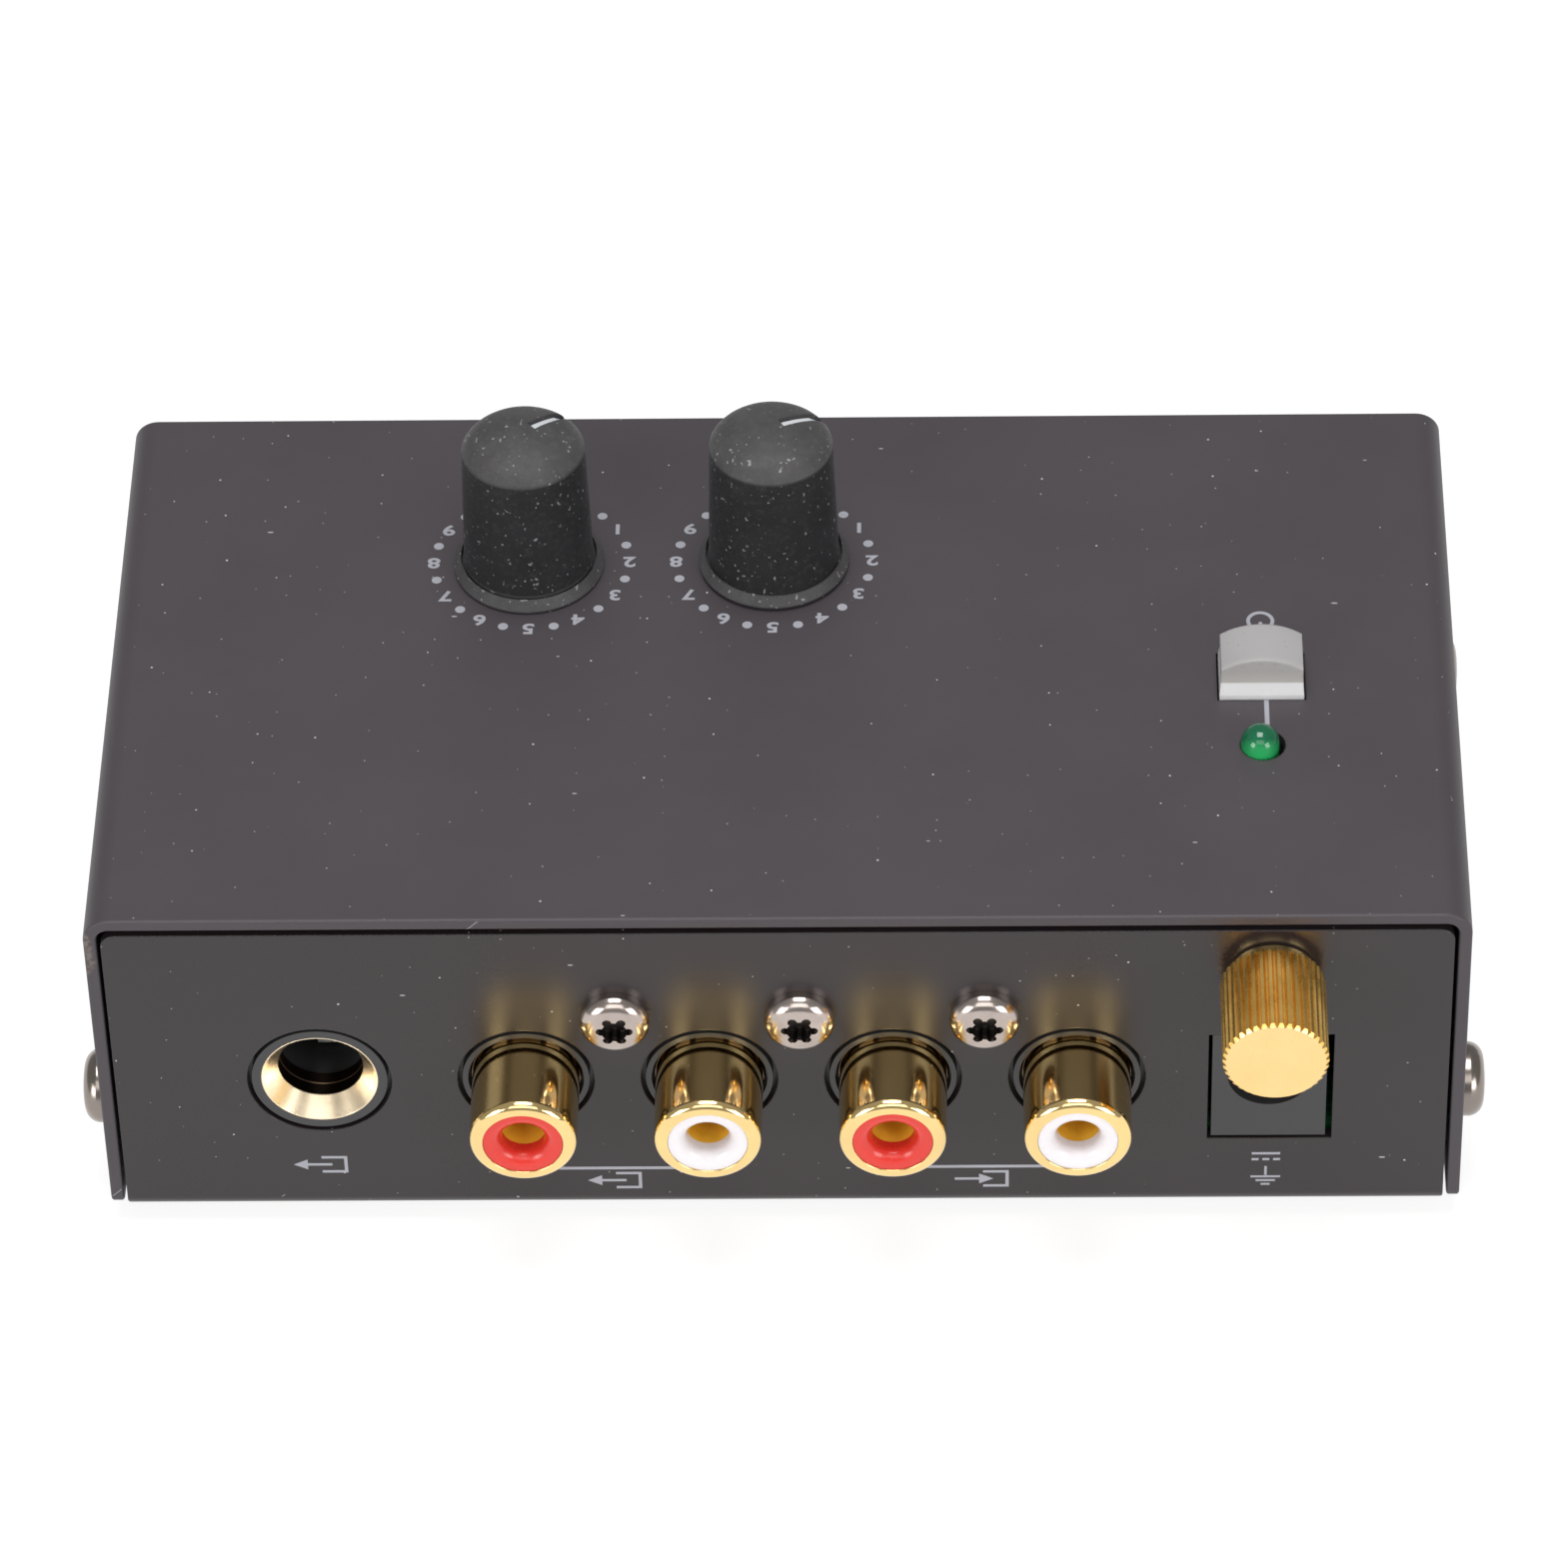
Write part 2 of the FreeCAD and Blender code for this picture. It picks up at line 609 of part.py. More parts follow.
# ---------------------------------------------------------------------------
# Output jack: moulded body, plated bush, three contact springs
# ---------------------------------------------------------------------------
JX = D("JackX")
jb = box(JX - 6.9, YR - 31.0, ZBRD, JX + 6.9, YR - T - 0.05, FH + 21.6, "JackBlank")
nose = cyl("Y", JX, YR - T - 0.5, ZSOCK, D("JackNose"), T + 0.4)
cuts = [cyl("Y", JX, YR - 4.0, ZSOCK, D("JackMouth") + 0.02, 6),
        cyl("Y", JX, YR - 30.0, ZSOCK, D("JackDeep"), 40),
        box(JX - 1.9, YR - 16.6, ZSOCK + 2, JX + 1.9, YR - 4.9, ZSOCK + 6.2),
        box(JX - 1.9, YR - 29.6, ZSOCK + 2, JX + 1.9, YR - 18.0, ZSOCK + 6.2),
        box(JX - 1.9, YR - 26.0, ZSOCK - 6.0, JX + 1.9, YR - 13.0, ZSOCK - 2)]
node(cut(fuse([jb, nose]), cuts, "output_jack_body"), "output_jack_body")

b = body("output_jack_bush")
s = sketch(b, "YZ")
poly(s, [(-0.12, D("JackMouth") - 0.08), (-0.12, D("JackMouth")), (-3.95, D("JackMouth")),
         (-3.95, D("JackBore")), (-1.62, D("JackBore"))])
revolve(b, s, "H_Axis")
place(b, JX, YR, ZSOCK)
node(b, "output_jack_bush")


def leaf(name, y0, y1, up, dip, wide):
    """Bent contact strip lying along Y, dipping into the bore."""
    b = body(name)
    s = sketch(b, "YZ")
    t, ym = 0.3, (q(y0) + y1) / 2
    sg = 1 if up > 0 else -1
    zo, zi = q(up), q(dip)
    poly(s, [(y0, zo), (ym - 2.2, zo), (ym - 0.6, zi), (ym + 0.6, zi),
             (ym + 2.2, zo), (y1, zo), (y1, zo + t * sg), (ym + 1.95, zo + t * sg),
             (ym + 0.45, zi + t * sg), (ym - 0.45, zi + t * sg),
             (ym - 1.95, zo + t * sg), (y0, zo + t * sg)])
    pad(b, s, wide, mid=True)
    return b


leaves = [leaf("LeafSleeve", -16.0, -5.4, 5.0, 2.55, 3.2),
          leaf("LeafTip", -29.2, -18.4, 5.0, 2.55, 3.2),
          leaf("LeafRing", -25.6, -13.4, -5.0, -2.55, 3.2)]
group("output_jack_springs", [link(k, JX, YR, ZSOCK) for k in leaves])

# ---------------------------------------------------------------------------
# Power inlet: moulded body with a blind round hole, centre pin, side spring
# ---------------------------------------------------------------------------
PX = D("PowerX")
PZ = FH + D("PowerUp")
pb = box(PX - 4.4, YR - 14.2, ZBRD, PX + 4.4, YR - 0.12, FH + 18.6, "InletBlank")
cuts = [cyl("Y", PX, YR - 10.5, PZ, D("PowerHole"), 12),
        box(PX - 1.5, YR - 10.5, PZ - 4.6, PX + 1.5, YR - 2.0, PZ - 2.6)]
node(cut(pb, cuts, "power_inlet_body"), "power_inlet_body")
b = body("power_inlet_pin")
s = sketch(b, "YZ")
PP = D("PowerPin")
poly(s, [(-10.48, 0), (-10.48, 2.6), (-9.9, 2.6), (-9.9, PP), (-1.7, PP, Q(-0.55)),
         (-1.2, PP - 0.45), (-1.2, 0)])
revolve(b, s, "H_Axis")
place(b, PX, YR, PZ)
node(b, "power_inlet_pin")
k = leaf("power_inlet_spring", -10.3, -2.3, -3.9, -2.85, 2.4)
place(k, PX, YR, PZ)
node(k, "power_inlet_spring")

# ---------------------------------------------------------------------------
# Earth terminal: brass bush in the panel, washer, knurled thumb screw
# ---------------------------------------------------------------------------
EZ = FH + D("EarthUp")
b = body("earth_bush")
s = sketch(b, "YZ")
poly(s, [(-5.2, 2.05), (-0.05, 2.05), (-0.05, 2.9), (-T, 2.9), (-T - 0.02, 3.9),
         (-4.9, 3.9), (-5.2, 3.6)])
revolve(b, s, "H_Axis")
place(b, PX, YR, EZ)
node(b, "earth_bush")

b = body("earth_washer")
s = sketch(b, "YZ")
poly(s, [(0.06, 2.05), (0.9, 2.05), (0.9, 3.25), (0.75, 3.4), (0.21, 3.4), (0.06, 3.25)])
revolve(b, s, "H_Axis")
place(b, PX, YR, EZ)
node(b, "earth_washer")

b = body("earth_thumb_screw")
s = sketch(b, "YZ")
ER, EL = D("EarthRadius"), D("EarthLength")
SH = D("EarthShank")
pts = [(-6.6, 0), (-6.6, SH - 0.3), (-6.3, SH)]
y = -6.3
while y < 0.0:
    pts += [(y + 0.25, SH), (y + 0.42, SH - 0.28), (y + 0.53, SH - 0.28), (y + 0.7, SH)]
    y += 0.7
pts += [(1.05, SH), (1.05, ER - 0.12), (1.17, ER), (1.05 + EL - 0.24, ER),
        (1.05 + EL, ER - 0.26), (1.05 + EL, 0)]
poly(s, pts)
rv = revolve(b, s, "H_Axis")
s = sketch(b, "XZ", -0.9)
RG, HW = 3.74, 0.24
poly(s, [(-HW, 4.3), (-HW, 4.05), (-0.05, RG), (0.05, RG), (HW, 4.05), (HW, 4.3)])
p = pocket(b, s, EL + 0.5)
polar(b, p, s, "N_Axis", 38)
place(b, PX, YR, EZ)
node(b, "earth_thumb_screw")


# ---------------------------------------------------------------------------
# Potentiometers with their shafts and knobs
# ---------------------------------------------------------------------------
def pot(x, KY, lift, prefix, angle):
    housing = box(x - 4.9, KY - 5.6, ZBRD, x + 4.9, KY + 5.6, ZBRD + 11.5)
    collar = cyl("Z", x, KY, ZBRD + 11.4, 3.9, 1.6)
    cuts = [cyl("Z", x, KY, ZBRD + 3.0, D("ShaftRadius") + 0.04, 20),
            cyl("Z", x, KY, ZBRD + 3.4, 4.25, 2.2),
            box(x - 4.95, KY - 6, ZBRD + 5.9, x - 4.6, KY + 6, ZBRD + 6.2),
            box(x + 4.6, KY - 6, ZBRD + 5.9, x + 4.95, KY + 6, ZBRD + 6.2)]
    node(cut(fuse([housing, collar]), cuts, prefix + "_pot_body"), prefix + "_pot_body")
    b = body(prefix + "_pot_shaft")
    s = sketch(b, "XZ")
    r = D("ShaftRadius")
    z0 = ZBRD + 3.1
    z1 = HC + 11.5
    poly(s, [(0, z0), (r, z0), (r, ZBRD + 3.6), (4.1, ZBRD + 3.6), (4.1, ZBRD + 5.4),
             (r, ZBRD + 5.4), (r, z1 - 0.5), (r - 0.5, z1), (0, z1)])
    revolve(b, s, "V_Axis")
    s = sketch(b, "XY", HC + 5.0)
    rect(s, -0.45, -4, 0.45, 4)
    pocket(b, s, 10, rev=True)
    place(b, x, KY, 0, V(0, 0, 1), angle)
    node(b, prefix + "_pot_shaft")

    b = body(prefix + "_knob")
    s = sketch(b, "XZ")
    rim, up, crown = D("KnobRim"), D("KnobRimUp"), D("KnobCrownUp")
    sag = crown - D("KnobShoulderUp")
    dome = (D("KnobShoulder") * D("KnobShoulder") + sag * sag) / (2 * sag)
    skirt, foot = D("KnobSkirt"), D("KnobFoot")
    mid, midup = D("KnobShoulder"), D("KnobShoulderUp")
    poly(s, [(r + 0.02, 2.0), (4.7, 1.6), (4.7, 0.08), (skirt - 0.1, 0.08),
             (skirt, 0.18), (skirt, 0.3), (foot + 0.3, 1.06, Q(0.07)), (foot + 0.22, 1.1),
             (foot + 0.16, 0.5), (foot, 0.5), (rim, up, Q(2.19)),
             (mid, midup, dome), (0, crown), (0, 11.6), (r + 0.02, 11.6)])
    revolve(b, s, "V_Axis")
    fillet(b, 0.2, lambda e: near(e.CenterOfMass.z, up.v, 0.05)
           and e.Length > 2 * math.pi * (rim.v - 0.2))
    # pointer slot, open at the rim
    s = sketch(b, "XZ")
    poly(s, [(0.95, 12.95), (2.0, 12.78), (3.0, 12.5), (3.75, 12.2), (4.4, 11.68),
             (5.6, 10.9), (5.6, 16.0), (0.95, 16.0)])
    pocket(b, s, 0.9, mid=True)
    place(b, x, KY, HC + lift, V(0, 0, 1), angle)
    node(b, prefix + "_knob")

    b = body(prefix + "_pointer")
    s = sketch(b, "XZ")
    poly(s, [(1.0, 12.96), (2.0, 12.8), (3.0, 12.52), (3.75, 12.22), (4.4, 11.7),
             (4.58, 11.6), (4.58, 11.98), (4.35, 12.22), (3.75, 12.74), (3.4, 12.89),
             (3.0, 13.03), (2.5, 13.18), (2.0, 13.3), (1.5, 13.41), (1.0, 13.48)])
    pad(b, s, 0.86, mid=True)
    place(b, x, KY, HC + lift, V(0, 0, 1), angle)
    node(b, prefix + "_pointer")


pot(D("KnobOneX"), KY1, D("KnobOneLift"), "volume", D("KnobAngleOne"))
pot(D("KnobTwoX"), KY2, D("KnobTwoLift"), "level", D("KnobAngleTwo"))

# ---------------------------------------------------------------------------
# Power switch: housing, plunger, return spring, button cap
# ---------------------------------------------------------------------------
ST = ZBRD + 11.5
hs = box(BX - 4.25, BY - 4.25, ZBRD, BX + 4.25, BY + 4.25, ST, "SwitchBlank")
cuts = [box(BX - 3.3, BY - 3.3, ZBRD + 1.5, BX + 3.3, BY + 3.3, ST - 1.2),
        box(BX - 2.1, BY - 2.1, ST - 2, BX + 2.1, BY + 2.1, ST + 1)]
node(cut(hs, cuts, "power_switch_body"), "power_switch_body")
FL = ST - 1.25
plug = fuse([box(BX - 2.0, BY - 2.0, FL - 1.0, BX + 2.0, BY + 2.0, HC - 3.9),
             box(BX - 3.1, BY - 3.1, FL - 2.2, BX + 3.1, BY + 3.1, FL),
             cyl("Z", BX, BY, ZBRD + 4.3, 1.2, FL - 2.0 - ZBRD - 4.3)])
plug.Label = "power_switch_plunger"
node(plug, "power_switch_plunger")

CB = ST + 3.2                       # bottom of the cap
low = box(BX - D("ButtonWide") / 2, BY - D("ButtonDeep") / 2, CB,
          BX + D("ButtonWide") / 2, BY + D("ButtonDeep") / 2, HC + 0.35)
wd = doc.addObject("Part::Wedge", "ButtonFlare")
bw, bd = D("ButtonWide") / 2, D("ButtonDeep") / 2
tw, td = bw - 0.1, Q(2.09)
bind(wd, "Xmin", -bw)
bind(wd, "Xmax", bw)
bind(wd, "Zmin", -bd)
bind(wd, "Zmax", bd)
bind(wd, "Ymin", 0)
bind(wd, "Ymax", 1.05)
bind(wd, "X2min", -tw)
bind(wd, "X2max", tw)
bind(wd, "Z2min", -td)
bind(wd, "Z2max", td)
place(wd, BX, BY, HC + 0.35, V(1, 0, 0), 90)
up = box(BX - tw, BY - td, HC + 1.4, BX + tw, BY + td, HC + 5.0)
arc = cyl("Y", BX, BY - 4, HC + 3.72 - 5.35, 5.35, 8)
capsolid = fuse([low, wd, common(up, arc)])
socket = box(BX - 2.01, BY - 2.01, CB - 1, BX + 2.01, BY + 2.01, HC - 3.88)
node(cut(capsolid, socket, "power_button_cap"), "power_button_cap")

# return spring of the switch, five turns around the plunger's pin
hx = doc.addObject("Part::Helix", "SpringPath")
bind(hx, "Pitch", 1.0)
bind(hx, "Height", FL - 2.2 - ZBRD - 1.5 - 0.5)
bind(hx, "Radius", 2.2)
wire = doc.addObject("Part::Circle", "SpringWire")
bind(wire, "Radius", 0.22)
wire.Placement = FreeCAD.Placement(V(2.2, 0, 0), FreeCAD.Rotation(V(1, 0, 0), 90))
sw = doc.addObject("Part::Sweep", "power_switch_spring")
sw.Sections = [wire]
doc.recompute()
sw.Spine = (hx, ["Edge%d" % (i + 1) for i in range(len(hx.Shape.Edges))])
sw.Solid = True
sw.Frenet = True
place(sw, BX, BY, ZBRD + 1.5 + 0.25)
node(sw, "power_switch_spring")

# ---------------------------------------------------------------------------
# Indicator: domed lens, two leads, spacer
# ---------------------------------------------------------------------------
LX = D("LampX") + D("LampShift")
LY = YR - D("LampBack")
b = body("power_lamp")
s = sketch(b, "XZ")
LR = D("LampRadius")
z0, z1 = HC - 5.0, HC + 0.25
poly(s, [(0, z0), (LR + 0.35, z0), (LR + 0.35, z0 + 0.9), (LR, z0 + 0.9),
         (LR, z1, LR), (0, z1 + LR)])
revolve(b, s, "V_Axis")
place(b, LX, LY, 0)
node(b, "power_lamp")
leads = [box(LX + dx - 0.25, LY - 0.25, ZBRD, LX + dx + 0.25, LY + 0.25, z0)
         for dx in (-0.9, 0.9)]
group("power_lamp_leads", leads)
tube = cyl("Z", LX, LY, ZBRD, LR + 0.35, z0 - ZBRD)
node(cut(tube, [box(LX + dx - 0.28, LY - 0.28, ZBRD - 1, LX + dx + 0.28, LY + 0.28, z0 + 1)
                for dx in (-0.9, 0.9)], "power_lamp_spacer"), "power_lamp_spacer")


# ---------------------------------------------------------------------------
# Parts on the circuit board
# ---------------------------------------------------------------------------
def chip(x, y):
    pkg = box(x - 4.8, y - 3.2, ZBRD + 0.6, x + 4.8, y + 3.2, ZBRD + 4.0)
    notch = cyl("Z", x - 4.8, y, ZBRD + 3.4, 0.8, 2)
    legs = []
    for k in range(4):
        for sg in (-1, 1):
            xc = x - 3.81 + 2.54 * k
            y0, y1 = (y - 3.9, y - 3.2) if sg < 0 else (y + 3.2, y + 3.9)
            legs.append(box(xc - 0.6, y0, ZBRD + 1.6, xc + 0.6, y1, ZBRD + 2.2))
            yo = y - 3.9 if sg < 0 else y + 3.6
            legs.append(box(xc - 0.3, yo, ZBRD, xc + 0.3, yo + 0.3, ZBRD + 1.7))
    return fuse([cut(pkg, notch)] + legs)


group("amplifier_chips", [chip(q(-14), q(1.5)), chip(q(10), q(1.5))])


def can(x, y, r, length):
    o = cyl("Z", x, y, ZBRD, r, length)
    ring = cut(cyl("Z", x, y, ZBRD + 1.2, r + 1, 0.6), cyl("Z", x, y, ZBRD + 1.0, r - 0.25, 1))
    slots = [box(x - r + 0.6, y - 0.12, ZBRD + length - 0.25, x + r - 0.6, y + 0.12, ZBRD + length + 1),
             box(x - 0.12, y - r + 0.6, ZBRD + length - 0.25, x + 0.12, y + r - 0.6, ZBRD + length + 1)]
    return cut(o, [ring] + slots)


group("electrolytic_capacitors", [can(q(x), q(y), q(r), q(h)) for x, y, r, h in (
    (-26, 5, 2.5, 11), (-26, -2, 2.5, 11), (-20, -9, 2.5, 11), (-27, -10, 3.15, 11),
    (-12, -9, 2.5, 11), (23, 3, 2.5, 11), (-44, -12, 4.0, 12))])


def film(x, y):
    return box(x - 3.6, y - 1.25, ZBRD + 0.1, x + 3.6, y + 1.25, ZBRD + 7.0)


group("film_capacitors", [film(q(x), q(y)) for x, y in
                          ((-2, 5), (-2, 1.5), (-2, -2.5), (10, -5.5))])


def resistor(x, y):
    z = ZBRD + 1.3
    c = cyl("Y", x, y - 3.2, z, 1.1, 6.4)
    waist = cut(cyl("Y", x, y - 1.9, z, 1.6, 3.8), cyl("Y", x, y - 2.4, z, 0.95, 4.8))
    legs = [cyl("Y", x, y - 4.3, z, 0.3, 8.6),
            cyl("Z", x, y - 4.1, ZBRD, 0.3, 1.3), cyl("Z", x, y + 4.1, ZBRD, 0.3, 1.3)]
    return fuse([cut(c, waist)] + legs)


group("resistors", [resistor(q(-34 + 4.2 * k), q(-26.5)) for k in range(10)])

reg = fuse([box(-40.0, -15.0, ZBRD + 2.0, -35.4, -11.6, ZBRD + 6.8)] +
           [box(-38.0 + 1.27 * k, -13.6, ZBRD, -37.5 + 1.27 * k, -13.1, ZBRD + 2.2)
            for k in (-1, 0, 1)])
node(reg, "voltage_regulator")

dio = fuse([cyl("Y", -46.0, 2.4, ZBRD + 1.4, 1.3, 5.2), cyl("Y", -46.0, 0, ZBRD + 1.4, 0.4, 10),
            cyl("Z", -46.0, 0.2, ZBRD, 0.4, 1.4), cyl("Z", -46.0, 9.8, ZBRD, 0.4, 1.4)])
node(dio, "polarity_diode")

# solder-side tails of the sockets, pots and switch are one comb of pins each
pins = []
for x, KY in ((D("KnobOneX"), KY1), (D("KnobTwoX"), KY2)):
    for k in (-1, 0, 1):
        pins.append(box(x + 2.5 * k - 0.4, KY + 5.6, ZBRD + 1.0, x + 2.5 * k + 0.4, KY + 6.4, ZBRD + 1.3))
        pins.append(box(x + 2.5 * k - 0.4, KY + 6.4, ZBRD, x + 2.5 * k + 0.4, KY + 6.7, ZBRD + 1.3))
tags = [fuse([pins[2 * i], pins[2 * i + 1]]) for i in range(len(pins) // 2)]
group("pot_terminals", tags)

# ---------------------------------------------------------------------------
doc.recompute()
bad = [o.Name for o in doc.Objects if "Invalid" in o.State or "Error" in o.State]
if bad:
    raise RuntimeError("objects failed: " + ", ".join(bad))
for o in NODES:
    if o.Shape.isNull() or not o.Shape.isValid() or not o.Shape.Solids:
        raise RuntimeError("bad shape: " + o.Label)
os.makedirs("parts", exist_ok=True)
lo, hi = V(1e9, 1e9, 1e9), V(-1e9, -1e9, -1e9)
for o in NODES:
    o.Shape.exportStep("parts/%s.step" % o.Label)
    bb = o.Shape.BoundBox
    lo = V(min(lo.x, bb.XMin), min(lo.y, bb.YMin), min(lo.z, bb.ZMin))
    hi = V(max(hi.x, bb.XMax), max(hi.y, bb.YMax), max(hi.z, bb.ZMax))
    print("%-26s solids %2d  volume %9.2f" % (o.Label, len(o.Shape.Solids), o.Shape.Volume))
print("nodes", len(NODES), "box", lo, hi)
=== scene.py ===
import bpy
import bmesh
import json
import math
import random
from mathutils import Matrix, Vector


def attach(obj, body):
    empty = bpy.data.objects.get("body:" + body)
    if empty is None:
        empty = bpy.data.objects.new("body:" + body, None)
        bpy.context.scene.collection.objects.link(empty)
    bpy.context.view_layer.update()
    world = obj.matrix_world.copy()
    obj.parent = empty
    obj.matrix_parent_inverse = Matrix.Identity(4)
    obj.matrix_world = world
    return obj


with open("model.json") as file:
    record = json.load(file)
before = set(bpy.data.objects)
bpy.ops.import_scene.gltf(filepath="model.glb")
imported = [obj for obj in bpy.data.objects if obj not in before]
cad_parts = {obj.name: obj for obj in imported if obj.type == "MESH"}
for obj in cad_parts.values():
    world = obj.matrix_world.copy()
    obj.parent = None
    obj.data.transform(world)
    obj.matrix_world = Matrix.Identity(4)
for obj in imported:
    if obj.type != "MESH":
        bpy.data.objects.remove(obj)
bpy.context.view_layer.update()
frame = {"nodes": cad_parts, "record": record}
random.seed(7)
scene = bpy.context.scene
MM = 0.001
YR = 24.1          # outer face of the socket panel
TOP = 32.9         # top face of the cover
nodes = frame["nodes"]

for o in nodes.values():
    me = o.data
    me.polygons.foreach_set("use_smooth", [True] * len(me.polygons))


# ---------------------------------------------------------------------------
# Material helpers.  Coordinates are object coordinates, in metres.
# ---------------------------------------------------------------------------
class Mat:
    def __init__(self, name):
        self.m = bpy.data.materials.new(name)
        self.m.use_nodes = True
        self.t = self.m.node_tree
        self.t.nodes.clear()
        self.out = self.t.nodes.new("ShaderNodeOutputMaterial")
        self.p = self.t.nodes.new("ShaderNodeBsdfPrincipled")
        self.t.links.new(self.p.outputs[0], self.out.inputs[0])
        self.co = self.t.nodes.new("ShaderNodeTexCoord").outputs["Object"]

    def n(self, kind, **kw):
        x = self.t.nodes.new(kind)
        for k, v in kw.items():
            setattr(x, k, v)
        return x

    def link(self, a, b):
        self.t.links.new(a, b)

    def set(self, **kw):
        for k, v in kw.items():
            k = k.replace("_", " ")
            if isinstance(v, (int, float)):
                self.p.inputs[k].default_value = v
            elif hasattr(v, "is_output"):
                self.link(v, self.p.inputs[k])
            else:
                self.p.inputs[k].default_value = tuple(v) + (1.0,) if len(v) == 3 else v
        return self

    def noise(self, scale, detail=3.0, rough=0.5, stretch=None, offset=None):
        x = self.n("ShaderNodeTexNoise")
        x.inputs["Scale"].default_value = scale
        x.inputs["Detail"].default_value = detail
        x.inputs["Roughness"].default_value = rough
        src = self.co
        if stretch or offset:
            mp = self.n("ShaderNodeMapping")
            if stretch:
                mp.inputs["Scale"].default_value = stretch
            if offset:
                mp.inputs["Location"].default_value = offset
            self.link(src, mp.inputs[0])
            src = mp.outputs[0]
        self.link(src, x.inputs["Vector"])
        return x.outputs["Fac"]

    def voronoi(self, scale, feature="F1", randomness=1.0):
        x = self.n("ShaderNodeTexVoronoi", feature=feature)
        x.inputs["Scale"].default_value = scale
        x.inputs["Randomness"].default_value = randomness
        self.link(self.co, x.inputs["Vector"])
        return x

    def ramp(self, fac, stops, interp="LINEAR"):
        x = self.n("ShaderNodeValToRGB")
        cr = x.color_ramp
        cr.interpolation = interp
        while len(cr.elements) > 1:
            cr.elements.remove(cr.elements[-1])
        for i, (pos, col) in enumerate(stops):
            if not isinstance(col, (tuple, list)):
                col = (col, col, col)
            e = cr.elements[0] if i == 0 else cr.elements.new(pos)
            e.position = pos
            e.color = tuple(col) + (1.0,)
        self.link(fac, x.inputs[0])
        return x.outputs[0]

    def rng(self, fac, a, b, c, d, clamp=True):
        x = self.n("ShaderNodeMapRange")
        x.clamp = clamp
        for i, v in enumerate((a, b, c, d)):
            x.inputs[i + 1].default_value = v
        self.link(fac, x.inputs[0])
        return x.outputs[0]

    def math(self, op, a, b=None, c=None):
        x = self.n("ShaderNodeMath", operation=op)
        for i, v in enumerate((a, b, c)):
            if v is None:
                continue
            if isinstance(v, (int, float)):
                x.inputs[i].default_value = v
            else:
                self.link(v, x.inputs[i])
        return x.outputs[0]

    def mix(self, fac, a, b):
        x = self.n("ShaderNodeMix", data_type="RGBA")
        for sock, v in ((x.inputs["Factor"], fac), (x.inputs[6], a), (x.inputs[7], b)):
            if isinstance(v, (int, float)):
                sock.default_value = v
            elif isinstance(v, (tuple, list)):
                sock.default_value = tuple(v) + (1.0,)
            else:
                self.link(v, sock)
        return x.outputs[2]

    def bump(self, height, strength=0.3, distance=0.0001, normal=None):
        x = self.n("ShaderNodeBump")
        x.inputs["Strength"].default_value = strength
        x.inputs["Distance"].default_value = distance
        self.link(height, x.inputs["Height"])
        if normal is not None:
            self.link(normal, x.inputs["Normal"])
        return x.outputs[0]

    def bevel(self, radius):
        x = self.n("ShaderNodeBevel")
        x.samples = 4
        x.inputs["Radius"].default_value = radius
        return x.outputs[0]

    def xyz(self):
        x = self.n("ShaderNodeSeparateXYZ")
        self.link(self.co, x.inputs[0])
        return x.outputs

    def specks(self, cell, size, keep, seed=0.0):
        """Scattered dots: one candidate per cell, a share of them kept."""
        v = self.n("ShaderNodeTexVoronoi", feature="F1")
        v.inputs["Scale"].default_value = cell
        mp = self.n("ShaderNodeMapping")
        mp.inputs["Location"].default_value = (seed, seed * 1.7, seed * 0.6)
        self.link(self.co, mp.inputs[0])
        self.link(mp.outputs[0], v.inputs["Vector"])
        near = self.rng(v.outputs["Distance"], size * 0.7, size, 1.0, 0.0)
        sep = self.n("ShaderNodeSeparateColor")
        self.link(v.outputs["Color"], sep.inputs[0])
        chosen = self.math("GREATER_THAN", sep.outputs[0], 1.0 - keep)
        return self.math("MULTIPLY", near, chosen)


def flat_specks(m, fold, cell, size, keep, seed, stretch=(1, 1, 1), turn=0.0):
    """Dust on folded sheet: the sheet is unrolled to a plane, so that a speck
    is a dot on every face.  fold is 'top' for the cover, 'panel' for the base."""
    x = m.xyz()
    comb = m.n("ShaderNodeCombineXYZ")
    if fold == "top":
        m.link(m.math("ADD", x[0], x[2]), comb.inputs[0])
        m.link(x[1], comb.inputs[1])
    else:
        m.link(x[0], comb.inputs[0])
        m.link(m.math("ADD", x[1], x[2]), comb.inputs[1])
    mp = m.n("ShaderNodeMapping")
    mp.inputs["Location"].default_value = (seed, seed * 0.37, 0)
    mp.inputs["Rotation"].default_value = (0, 0, turn)
    mp.inputs["Scale"].default_value = stretch
    m.link(comb.outputs[0], mp.inputs[0])
    v = m.n("ShaderNodeTexVoronoi", feature="F1", voronoi_dimensions="2D")
    v.inputs["Scale"].default_value = cell
    m.link(mp.outputs[0], v.inputs["Vector"])
    sep = m.n("ShaderNodeSeparateColor")
    m.link(v.outputs["Color"], sep.inputs[0])
    r = m.rng(sep.outputs[1], 0, 1, size * 0.45, size)
    near = m.math("LESS_THAN", v.outputs["Distance"], r)
    return m.math("MULTIPLY", near, m.math("GREATER_THAN", sep.outputs[0], 1.0 - keep))


